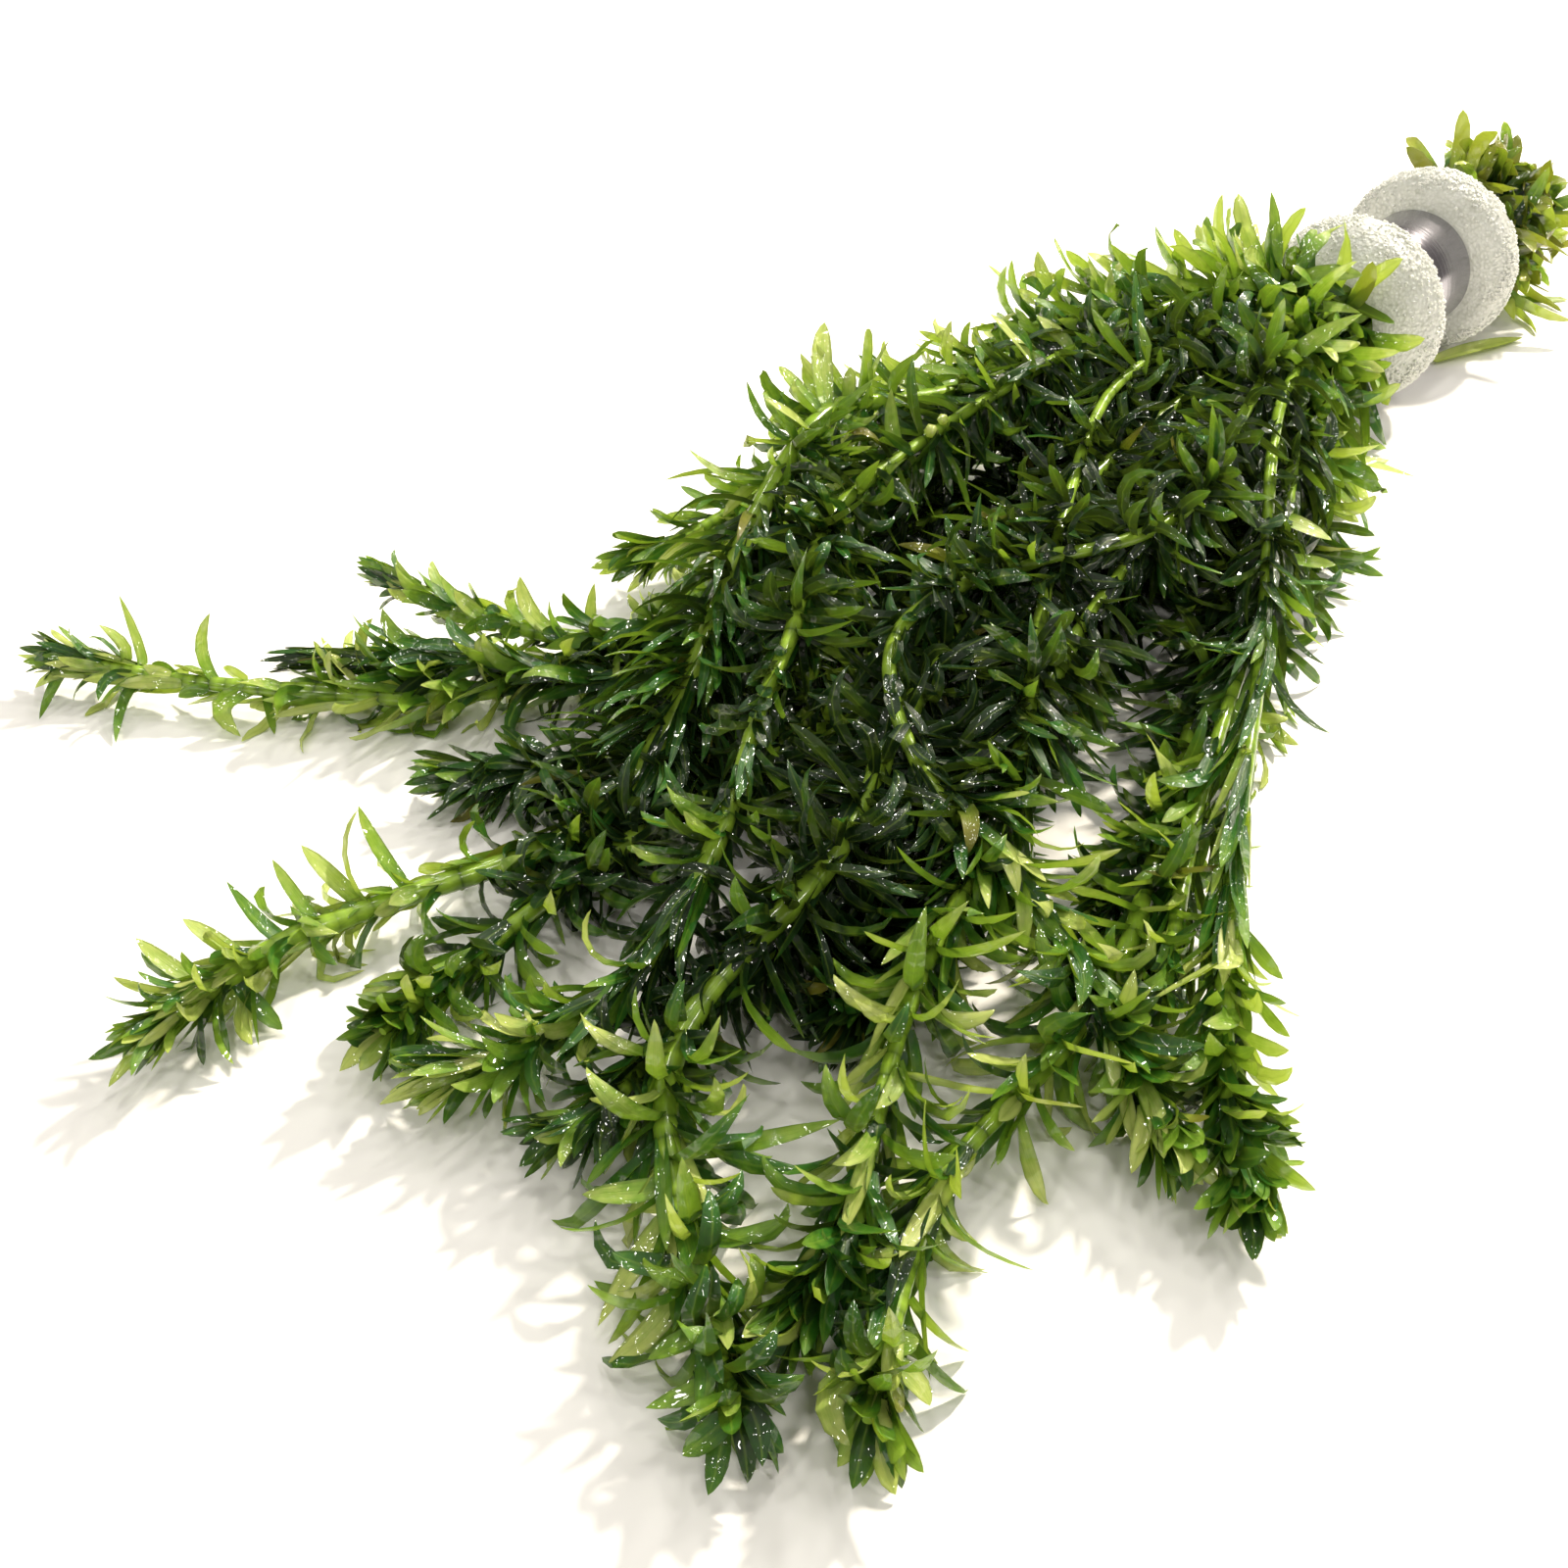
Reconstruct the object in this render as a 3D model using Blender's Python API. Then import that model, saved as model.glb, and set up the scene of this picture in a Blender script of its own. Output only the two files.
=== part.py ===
"""Brazilian waterweed: a wet bunch of leafy stems lying down, held by a foam sleeve and a metal band.

The stems run along +X, from their cut ends behind the sleeve to their growing tips, and fan out
on the surface they rest on (z = 0). Lengths below are in millimetres and are written in metres.
Each stem is one closed body: a thin square rod along a curve, with its leaves drawn out of its
sides in whorls of four.
"""
import math

import bmesh
import bpy
import numpy as np
from mathutils import Vector, kdtree
from mathutils.bvhtree import BVHTree

MM = 0.001

# The frame's origin: the middle of the bunch's footprint, in the coordinates that the routes use
ORIGIN_X = 97.41
ORIGIN_Y = -3.64

# Foam sleeve, a turned roll pinched in two by the band
AXIS_HEIGHT = 16.2
FOAM_RADIUS = 17.0
HOLE_RADIUS = 7.4
FOAM_SIDES = 28
FOAM_FRONT = 12.0
FOAM_BACK = -32.0
# Outside of the sleeve from its front to its back: place along the axis, and radius
FOAM_PROFILE = [
    (12.0, 9.4), (10.2, 13.6), (6.8, 16.4), (3.2, 17.0), (0.3, 15.6), (0.3, 9.7), (-19.8, 9.7),
    (-19.8, 15.2), (-22.8, 17.0), (-27.0, 16.5), (-30.8, 13.6), (-32.0, 9.4),
]

# Metal band in the foam's waist
BAND_FRONT = 0.0
BAND_BACK = -19.5
BAND_OUTER = 10.8
BAND_INNER = 10.0
BAND_SIDES = 32

# Stems
STEM_RADIUS = 1.25
STEM_GAP = 0.3
SLOT_RING = 2.9
SLOT_OUTER = 5.78
STEM_LIFT = 2.2
FAN_SPACING = 4.3
ROUTE_STEP = 1.5
BEND_LIMIT = 0.4

# Leaves
LEAF_LENGTH = 12.4
LEAF_WIDTH = 3.6
LEAF_THICKNESS = 0.6
LEAF_GAP = 0.3
LEAF_FOOT = 1.2
LEAVES_PER_WHORL = 4
LEVEL_SHARE = 0.7
LEAST_FOOT_ANGLE = 27.0
FLOOR_CLEAR = 0.4
# Distance from a stem's growing tip to each whorl that is modelled here
TIP_WHORLS = (2.2, 7.0, 14.5)
WHORL_SPACING = 17.0
PLAIN_SHARE = 0.5

# One loose leaf lies on the surface beside the sleeve: its middle line and its width
LOOSE_LEAF = [(-17.0, 8.6), (-23.0, 11.2), (-30.0, 14.2), (-37.5, 17.0)]
LOOSE_LEAF_WIDTH = 3.0

# Each stem: its slot in the sleeve, how far its cut end sticks out behind, how wide its leaves
# open (1 is fully), its colour, its route.
# A slot is a ring (0 middle, 1 inner, 2 outer) and an angle in degrees, from the right, going up.
# A route point is (along, across, height) in front of the sleeve, and the last one is the tip.
STEMS = {
    "far_left_stem": ((2, 180), 17, 0.85, (0.16, 0.30, 0.05), [
        (32, -15, 17), (56, -28, 15), (88, -34, 11), (120, -35, 8), (150, -34, 6), (174, -42, 5),
        (186, -53, 5), (196, -67, 5), (205, -81, 5), (212, -95, 6)]),
    "short_left_stem": ((2, 150), 13, 0.9, (0.12, 0.24, 0.04), [
        (26, -11, 23), (44, -22, 26), (66, -31, 23), (90, -37, 17), (112, -42, 12), (128, -45, 9),
        (140, -48, 8)]),
    "left_curl_stem": ((1, 180), 21, 0.75, (0.15, 0.29, 0.05), [
        (32, -9, 17), (60, -19, 16), (98, -24, 14), (132, -25, 12), (153, -28, 10), (163, -38, 10),
        (168, -54, 10), (171, -70, 11)]),
    "dark_tip_stem": ((2, 210), 15, 0.65, (0.07, 0.13, 0.03), [
        (34, -9, 11), (60, -17, 8), (95, -22, 7), (130, -22, 6), (152, -22, 6), (166, -31, 8),
        (175, -45, 9), (183, -55, 9), (190, -65, 8)]),
    "low_left_stem": ((2, 240), 18, 0.8, (0.09, 0.18, 0.04), [
        (30, -6, 10), (60, -12, 6), (95, -13, 5), (130, -12, 5), (152, -13, 5), (170, -13, 6),
        (181, -22, 5), (192, -31, 6)]),
    "elbow_stem": ((2, 120), 12, 1.0, (0.21, 0.38, 0.06), [
        (26, -7, 25), (46, -15, 28), (78, -21, 25), (104, -25, 29), (120, -25, 35), (136, -21, 32),
        (149, -17, 26), (162, -11, 20), (176, -7, 13), (190, -6, 9), (204, -13, 7), (220, -20, 6),
        (234, -22, 6), (247, -20, 7)]),
    "hooked_stem": ((1, 240), 20, 0.95, (0.13, 0.25, 0.05), [
        (30, -3, 13), (60, -3, 10), (95, -1, 8), (125, 1, 7), (150, 2, 8), (174, 1, 9),
        (190, -1, 9), (204, -2, 7), (217, -2, 6), (228, 0, 7)]),
    "top_left_stem": ((2, 90), 16, 0.9, (0.17, 0.32, 0.06), [
        (26, -2, 26), (46, -7, 32), (78, -12, 32), (110, -14, 30), (134, -13, 28), (150, -3, 28),
        (161, 3, 27), (172, 8, 26), (184, 15, 23), (195, 19, 18), (206, 20, 13), (216, 17, 9),
        (223, 13, 7), (229, 9, 7)]),
    "middle_stem": ((0, 0), 22, 0.9, (0.11, 0.22, 0.04), [
        (30, 3, 18), (55, 8, 21), (84, 16, 24), (110, 23, 26), (130, 27, 25), (145, 30, 22),
        (162, 28, 17), (178, 28, 12), (194, 26, 9), (206, 26, 8), (216, 28, 7), (225, 26, 7)]),
    "long_middle_stem": ((1, 60), 14, 1.05, (0.14, 0.28, 0.05), [
        (28, 1, 21), (50, 2, 24), (78, 4, 25), (106, 7, 24), (135, 12, 22), (160, 20, 20),
        (182, 28, 18), (198, 28, 15), (212, 30, 11), (220, 39, 8), (227, 49, 7), (232, 57, 6),
        (237, 64, 7)]),
    "top_middle_stem": ((1, 120), 19, 0.85, (0.18, 0.34, 0.06), [
        (26, 0, 23), (50, -2, 29), (80, -1, 32), (98, 5, 31), (114, 13, 30), (128, 20, 28),
        (148, 32, 22), (167, 40, 17), (183, 44, 15), (197, 50, 12), (208, 56, 9), (218, 61, 8),
        (226, 61, 7)]),
    "low_right_stem": ((2, 330), 15, 0.85, (0.10, 0.21, 0.04), [
        (28, 6, 14), (55, 13, 11), (85, 25, 9), (115, 38, 8), (145, 51, 8), (168, 60, 9),
        (188, 61, 8), (201, 61, 7), (212, 65, 6), (221, 70, 6), (229, 74, 7)]),
    "bent_stem": ((2, 60), 18, 0.85, (0.20, 0.37, 0.06), [
        (30, 4, 24), (58, 12, 28), (84, 20, 30), (104, 26, 30), (122, 21, 30), (138, 13, 30),
        (151, 12, 29), (158, 17, 27), (163, 25, 23), (166, 34, 20), (168, 45, 17), (170, 56, 13),
        (174, 65, 9), (178, 72, 7), (181, 78, 7)]),
    "right_stem": ((2, 30), 13, 0.6, (0.16, 0.31, 0.05), [
        (32, 6, 23), (56, 14, 27), (80, 26, 26), (98, 37, 21), (112, 45, 18), (126, 52, 16),
        (140, 59, 14), (154, 67, 11), (166, 74, 9), (176, 82, 7), (182, 88, 7)]),
    "inner_right_stem": ((2, 0), 20, 0.7, (0.12, 0.24, 0.04), [
        (30, 7, 17), (54, 17, 18), (78, 29, 18), (100, 38, 16), (120, 45, 14), (140, 53, 11),
        (156, 61, 9), (166, 66, 9)]),
    "under_right_stem": ((2, 300), 16, 0.9, (0.08, 0.17, 0.03), [
        (26, 7, 11), (42, 17, 8), (62, 26, 6), (86, 34, 5), (110, 42, 5), (134, 48, 5),
        (156, 50, 5)]),
    "under_middle_stem": ((2, 270), 14, 0.9, (0.07, 0.15, 0.03), [
        (28, 1, 9), (60, 5, 5), (100, 11, 5), (138, 18, 5), (166, 26, 5), (188, 38, 6)]),
}
SEEDS = {name: 11 + 7 * place for place, name in enumerate(STEMS)}


def clear_scene():
    for thing in list(bpy.data.objects):
        bpy.data.objects.remove(thing, do_unlink=True)


def material(name, colour, roughness, metallic=0.0):
    made = bpy.data.materials.new(name)
    made.use_nodes = True
    shader = made.node_tree.nodes["Principled BSDF"]
    shader.inputs["Base Color"].default_value = (*colour, 1.0)
    shader.inputs["Roughness"].default_value = roughness
    shader.inputs["Metallic"].default_value = metallic
    made.diffuse_color = (*colour, 1.0)
    return made


def finish(bm, name, surface, smooth_angle=None):
    """Turn a bmesh in route millimetres into a named object in metres, in the part's frame."""
    bmesh.ops.recalc_face_normals(bm, faces=bm.faces)
    if bm.calc_volume(signed=True) < 0:
        bmesh.ops.reverse_faces(bm, faces=bm.faces)
    for vert in bm.verts:
        vert.co = Vector(((vert.co.x - ORIGIN_X) * MM, (vert.co.y - ORIGIN_Y) * MM, vert.co.z * MM))
    mesh = bpy.data.meshes.new(name)
    bm.to_mesh(mesh)
    bm.free()
    if smooth_angle is not None:
        mesh.shade_smooth()
        mesh.set_sharp_from_angle(angle=math.radians(smooth_angle))
    mesh.materials.append(surface)
    piece = bpy.data.objects.new(name, mesh)
    bpy.context.scene.collection.objects.link(piece)
    return piece


def turned(profile, sides):
    """Turn a closed profile of (along, radius) points about the sleeve's axis."""
    bm = bmesh.new()
    rings = []
    for along, radius in profile:
        ring = []
        for side in range(sides):
            turn = 2 * math.pi * (side + 0.5) / sides
            across = radius * math.sin(turn)
            height = AXIS_HEIGHT - radius * math.cos(turn)
            ring.append(bm.verts.new((along, across, height)))
        rings.append(ring)
    for first, second in zip(rings, rings[1:] + rings[:1]):
        for side in range(sides):
            after = (side + 1) % sides
            bm.faces.new((first[side], first[after], second[after], second[side]))
    return bm


def foam_sleeve():
    bm = turned(FOAM_PROFILE + [(FOAM_BACK, HOLE_RADIUS), (FOAM_FRONT, HOLE_RADIUS)], FOAM_SIDES)
    for vert in bm.verts:
        # The foam is pressed flat where it lies on the surface
        vert.co.z = max(vert.co.z, 0.0)
    finish(bm, "foam_sleeve", material("foam", (0.72, 0.71, 0.60), 0.9), 40)


def metal_band():
    profile = [
        (BAND_FRONT, BAND_OUTER), (BAND_BACK, BAND_OUTER), (BAND_BACK, BAND_INNER),
        (BAND_FRONT, BAND_INNER),
    ]
    finish(turned(profile, BAND_SIDES), "metal_band", material("metal", (0.45, 0.45, 0.47), 0.25, 1.0), 30)


def smooth_route(points, step):
    """A Catmull-Rom curve through the points, as points about step apart."""
    points = np.asarray(points, float)
    ends = np.vstack([2 * points[0] - points[1], points, 2 * points[-1] - points[-2]])
    pieces = []
    for before, start, end, after in zip(ends, ends[1:], ends[2:], ends[3:]):
        count = max(int(np.ceil(np.linalg.norm(end - start) / step)), 1)
        t = (np.arange(count) / count)[:, None]
        pieces.append(0.5 * (2 * start + (end - before) * t
                             + (2 * before - 5 * start + 4 * end - after) * t ** 2
                             + (3 * start - before - 3 * end + after) * t ** 3))
    pieces.append(points[-1:])
    return np.vstack(pieces)


def slot_place(slot):
    ring, angle = slot
    radius = (0.0, SLOT_RING, SLOT_OUTER)[ring]
    return radius * math.cos(math.radians(angle)), radius * math.sin(math.radians(angle))


def raw_routes():
    routes = []
    for slot, tail, _, _, points in STEMS.values():
        across, up = slot_place(slot)
        inside = [(x, across, AXIS_HEIGHT + up) for x in (FOAM_BACK - 3, -12, FOAM_FRONT + 1)]
        cut = (FOAM_BACK - 3 - tail, 1.5 * across, AXIS_HEIGHT + 1.6 * up + 0.12 * tail)
        routes.append(smooth_route([cut] + inside + list(points), ROUTE_STEP))
    return routes


def spread_routes(routes, rounds=90):
    """Nudge the stems apart wherever two run too close, and keep them off the surface."""
    places = np.vstack(routes)
    owner = np.concatenate([np.full(len(route), n) for n, route in enumerate(routes)])
    inner = np.ones(len(places), bool)
    inner[np.cumsum([len(route) for route in routes]) - 1] = False
    inner[np.cumsum([0] + [len(route) for route in routes[:-1]])] = False
    loose = (places[:, 0] > FOAM_FRONT + 1.5) | (places[:, 0] < FOAM_BACK - 3.5)
    ahead = np.clip((places[:, 0] - FOAM_FRONT - 1) / 22, 0, 1)
    spacing = 2 * STEM_RADIUS + STEM_GAP + 0.2 + (FAN_SPACING - 2 * STEM_RADIUS - STEM_GAP - 0.2) * ahead
    start = places.copy()
    for _ in range(rounds):
        tree = kdtree.KDTree(len(places))
        for n, place in enumerate(places):
            tree.insert(place, n)
        tree.balance()
        push = np.zeros_like(places)
        for n in np.flatnonzero(loose):
            for _, other, distance in tree.find_range(places[n], spacing[n]):
                if owner[other] != owner[n]:
                    away = places[n] - places[other]
                    share = (spacing[n] - distance) / max(distance, 0.05)
                    push[n] += 0.35 * share * away
        size = np.linalg.norm(push, axis=1, keepdims=True)
        places += push * np.minimum(1.0, 0.8 / np.maximum(size, 1e-9))
        middle = (np.roll(places, 1, axis=0) + np.roll(places, -1, axis=0)) / 2
        bend = loose & inner
        places[bend] += 0.25 * (middle[bend] - places[bend])
        places[loose] += 0.01 * (start[loose] - places[loose])
        places[:, 2] = np.maximum(places[:, 2], STEM_RADIUS + STEM_LIFT)
    return [places[owner == n] for n in range(len(routes))]


class Course:
    """A stem's curve, read by the distance along it: place, direction and a steady side vector."""

    def __init__(self, points):
        self.points = points
        steps = np.linalg.norm(np.diff(points, axis=0), axis=1)
        self.along = np.concatenate([[0], np.cumsum(steps)])
        self.length = self.along[-1]
        ahead = np.gradient(points, self.along, axis=0)
        self.ahead = ahead / np.linalg.norm(ahead, axis=1, keepdims=True)
        side = np.cross(self.ahead[0], (0, 0, 1.0))
        sides = []
        for direction in self.ahead:
            side = side - np.dot(side, direction) * direction
            side = side / np.linalg.norm(side)
            sides.append(side)
        self.sides = np.array(sides)

    def read(self, table, distance):
        return np.array([np.interp(distance, self.along, table[:, n]) for n in range(3)])

    def at(self, distance, turn):
        """Place and three directions: ahead, then side and rise turned about it by an angle."""
        ahead = self.read(self.ahead, distance)
        ahead /= np.linalg.norm(ahead)
        side = self.read(self.sides, distance)
        side -= np.dot(side, ahead) * ahead
        side /= np.linalg.norm(side)
        rise = np.cross(side, ahead)
        across = math.cos(turn) * side + math.sin(turn) * rise
        return self.read(self.points, distance), ahead, across, np.cross(across, ahead)


def whorl_plan(length, seed):
    """Every whorl of a stem, from the tip down: distance from the tip, turn, and per leaf values."""
    draw = np.random.RandomState(seed)
    rows = []
    distance = 1.2
    number = 0
    while distance < length - 2.0:
        turn = math.radians(45.0 * (number % 2) + 3.0 * number) + draw.uniform(-0.12, 0.12)
        wet = draw.uniform(0.0, 1.0)
        rows.append((distance, turn, wet, draw.uniform(-1.0, 1.0, (LEAVES_PER_WHORL, 4))))
        distance += 0.8 + 2.6 * (1 - math.exp(-distance / 14.0)) + draw.uniform(-0.2, 0.2)
        number += 1
    return rows


def leaf_angles(distance, wet, draws, spread):
    """Length, and the angles from the stem's direction at the leaf's foot and at its tip."""
    grown = 1 - math.exp(-distance / 11.0)
    length = (5.5 + (LEAF_LENGTH - 5.5) * grown) * (1 + 0.14 * draws[0])
    foot = 14 + 44 * grown + 12 * draws[1] - 16 * wet * grown
    tip = 22 + 84 * grown + 26 * draws[2] * grown - 26 * wet * grown
    return length, math.radians(foot * spread), math.radians(tip * spread)


def leaf_line(foot, ahead, out, length, first, last, steps=6):
    """A leaf's middle line: it leaves the stem at one angle, ends at another, and lies on z = 0."""
    line = [np.array(foot)]
    stride = length / steps
    for step in range(steps):
        angle = first + (last - first) * (step + 0.5) / steps
        heading = math.cos(angle) * ahead + math.sin(angle) * out
        after = line[-1] + stride * heading
        if after[2] < FLOOR_CLEAR:
            drop = max(FLOOR_CLEAR - line[-1][2], -stride) / stride
            flat = heading[:2] / max(np.linalg.norm(heading[:2]), 1e-6)
            level = math.sqrt(max(1 - min(drop * drop, 1), 0.0))
            heading = np.array([flat[0] * level, flat[1] * level, drop])
            after = line[-1] + stride * heading
        line.append(after)
    return np.array(line)


def unit(vector):
    return vector / max(np.linalg.norm(vector), 1e-9)


def blade_points(line, foot, ahead, reach, grow=0.0):
    """Three corners at the leaf's widest place and its tip: flat below, with a low ridge above.

    The blade starts square to its stem and turns towards level, as a wet leaf does. reach is how
    far its widest place may stand to each side without meeting the next leaf of its whorl.
    """
    widest = line[2] * 0.6 + line[3] * 0.4
    heading = unit(line[4] - line[1])
    along_foot = unit(foot[1] - foot[0])
    out = unit(line[1] - line[0])
    upright = 1.0 if np.dot(np.cross(along_foot, out), ahead) > 0 else -1.0
    square = unit(along_foot - np.dot(along_foot, heading) * heading)
    level = unit(np.cross(heading, (0, 0, 1.0)))
    if np.dot(level, square) < 0:
        level = -level
    side = unit((1 - LEVEL_SHARE) * square + LEVEL_SHARE * level)
    side = unit(side - np.dot(side, heading) * heading)
    normal = upright * np.cross(side, heading)
    half = min(LEAF_WIDTH / 2, reach) + grow
    under = LEAF_THICKNESS / 3 + grow
    over = 2 * LEAF_THICKNESS / 3 + grow
    corners = [widest - half * side - under * normal, widest + half * side - under * normal,
               widest + over * normal, line[-1] + grow * heading]
    lowest = min(corner[2] for corner in corners[:3])
    for corner in corners[:3]:
        corner[2] += max(0.08 - lowest, 0.0)
    return corners


def leaf_faces(foot, corners):
    """Faces that join a leaf's four foot corners, in order round it, to its blade or its tip."""
    if len(corners) == 1:
        tip = corners[0]
        return [(foot[n], foot[(n + 1) % 4], tip) for n in range(4)]
    left, right, ridge, tip = corners
    a, b, c, d = foot
    return [(a, b, right, left), (b, c, right), (c, ridge, right), (c, d, ridge), (d, left, ridge),
            (d, a, left), (left, right, tip), (right, ridge, tip), (ridge, left, tip)]


class Stem:
    """One stem: its rings of four corners, and the leaves that grow from the sides between them."""

    def __init__(self, name, route, seed, tail, spread):
        self.name = name
        self.spread = spread
        self.course = Course(route)
        self.tail = tail
        plan = whorl_plan(self.course.length, seed)
        self.whorls = self.chosen(plan)
        self.stations = self.ring_places()
        self.rings = [self.ring(distance, turn) for distance, turn, _ in self.stations]
        self.leaves = {}
        self.placed = []

    def chosen(self, plan):
        """The whorls that are modelled: close together at the tip, then evenly down the stem."""
        fan = self.course.length - self.tail - (FOAM_FRONT - FOAM_BACK + 8)
        wanted = list(TIP_WHORLS)
        while wanted[-1] + WHORL_SPACING < fan:
            wanted.append(wanted[-1] + WHORL_SPACING)
        wanted.append(self.course.length - 0.45 * self.tail)
        distances = np.array([row[0] for row in plan])
        return [plan[int(np.argmin(abs(distances - place)))] for place in wanted]

    def ring_places(self):
        """Places of the rings from the cut end to the tip, each with its turn and its whorl."""
        stations = [(0.0, self.whorls[-1][1], None)]
        for number in range(len(self.whorls) - 1, -1, -1):
            centre = self.course.length - self.whorls[number][0]
            turn = self.whorls[number][1]
            stations.append((centre - LEAF_FOOT / 2, turn, number))
            stations.append((centre + LEAF_FOOT / 2, turn, None))
        quarter = math.pi / 2
        eased = [stations[0]]
        for distance, turn, whorl in stations[1:]:
            last = eased[-1][1]
            turn = last + (turn - last + quarter / 2) % quarter - quarter / 2
            gap = distance - eased[-1][0]
            pieces = self.bends(eased[-1][0], distance) if gap > 3 else 1
            for n in range(1, pieces):
                share = n / pieces
                eased.append((eased[-1][0] + gap / pieces, last + (turn - last) * share, None))
            eased.append((distance, turn, whorl))
        return eased

    def bends(self, start, end):
        """How many straight pieces keep the rod within the bend limit of its curve."""
        for pieces in range(1, 9):
            marks = np.linspace(start, end, pieces + 1)
            worst = 0.0
            for a, b in zip(marks, marks[1:]):
                middle = self.course.read(self.course.points, (a + b) / 2)
                ends = [self.course.read(self.course.points, m) for m in (a, b)]
                worst = max(worst, np.linalg.norm(middle - (ends[0] + ends[1]) / 2))
            if worst < BEND_LIMIT:
                return pieces
        return 8

    def ring(self, distance, turn):
        place, _, across, rise = self.course.at(distance, turn)
        reach = STEM_RADIUS / math.sqrt(2)
        return [place + reach * (across * a + rise * b) for a, b in ((1, -1), (1, 1), (-1, 1), (-1, -1))]

    def tip_point(self):
        place, ahead, _, _ = self.course.at(self.course.length, 0.0)
        return place + 1.5 * ahead

    def rod_faces(self):
        faces = []
        for low, high in zip(self.rings, self.rings[1:]):
            for side in range(4):
                after = (side + 1) % 4
                faces.append((low[side], low[after], high[after], high[side]))
        faces.append(tuple(reversed(self.rings[0])))
        tip = self.tip_point()
        for side in range(4):
            faces.append((self.rings[-1][side], self.rings[-1][(side + 1) % 4], tip))
        return faces

    def foot(self, station, side):
        low, high = self.rings[station], self.rings[station + 1]
        after = (side + 1) % 4
        return [low[side], low[after], high[after], high[side]]

    def pressed_under(self, station, side):
        """Whether the leaf here points straight down from a stem that lies on the surface."""
        distance, turn, _ = self.stations[station]
        place, _, across, rise = self.course.at(distance, turn)
        out = (across, rise, -across, -rise)[side]
        return place[2] < 8.0 and out[2] < -0.8

    def leaf_shapes(self, station, side):
        """The leaf that grows here, and closer, shorter forms of it for where there is no room."""
        distance, turn, whorl = self.stations[station]
        from_tip, _, wet, draws = self.whorls[whorl]
        length, first, last = leaf_angles(from_tip, wet, draws[side], self.spread)
        _, ahead, across, rise = self.course.at(distance + LEAF_FOOT / 2, turn)
        out = (across, rise, -across, -rise)[side]
        foot = self.foot(station, side)
        middle = sum(foot) / 4
        behind = whorl == len(self.whorls) - 1
        plain = behind or from_tip > (1 - PLAIN_SHARE) * (self.course.length - self.tail - 45)
        if behind:
            ahead = -ahead
            foot = [foot[3], foot[2], foot[1], foot[0]]
            first, last = math.radians(30), math.radians(60)
        for share, close in ((1, 0), (1, 0.35), (0.8, 0.15), (0.8, 0.5), (0.6, 0.2), (0.6, 0.6), (0.45, 0.5)):
            least = math.radians(LEAST_FOOT_ANGLE)
            start = max(first * (1 - close) + math.radians(8) * close, least)
            end = max(last * (1 - close) + math.radians(20) * close, 0.8 * least)
            line = leaf_line(middle, ahead, out, length * share, start, end)
            radius = STEM_RADIUS * 0.7 + 0.4 * length * share * math.sin(start)
            if plain:
                heading = (line[-1] - line[0]) / np.linalg.norm(line[-1] - line[0])
                tip = line[-1] + 0
                wide = tip + LEAF_GAP * heading
                yield foot, [tip], [wide]
            else:
                reach = 0.8 * radius
                yield (foot, blade_points(line, foot, ahead, reach),
                       blade_points(line, foot, ahead, reach, LEAF_GAP))


def grown_foot(foot):
    """A leaf's foot widened, for the test of clear space beside other stems."""
    centre = sum(foot) / 4
    return [centre + (corner - centre) * 1.25 for corner in foot]


def lifted_foot(foot, corners):
    """A leaf's foot moved just off its own stem, for the test of clear space on that stem."""
    shift = 0.16 * (corners[-1] - sum(foot) / 4)
    return [corner + shift for corner in foot]


def tree_of(faces):
    places, polygons = [], []
    for face in faces:
        polygons.append(tuple(range(len(places), len(places) + len(face))))
        places.extend(face)
    return BVHTree.FromPolygons([Vector(place) for place in places], polygons)


def box_of(faces):
    places = np.array([place for face in faces for place in face])
    return places.min(axis=0), places.max(axis=0)


def apart(first, second):
    return bool(np.any(first[0] > second[1]) or np.any(second[0] > first[1]))


def meets(box, tree, others):
    return any(not apart(box, other_box) and tree.overlap(other) for other_box, other in others)


def crosses(faces, others):
    """Whether any of these faces cuts one of the others, apart from those it shares a corner with."""
    corners = [{tuple(np.round(place, 4)) for place in face} for face in faces]
    box, tree = box_of(faces), tree_of(faces)
    for other_box, other, other_corners in others:
        if apart(box, other_box):
            continue
        for mine, theirs in tree.overlap(other):
            if not corners[mine] & other_corners[theirs]:
                return True
    return False


def solid_faces(faces):
    """Faces ready for the test of crossings: their box, their tree, and the corners of each."""
    return box_of(faces), tree_of(faces), [{tuple(np.round(place, 4)) for place in face} for face in faces]


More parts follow.
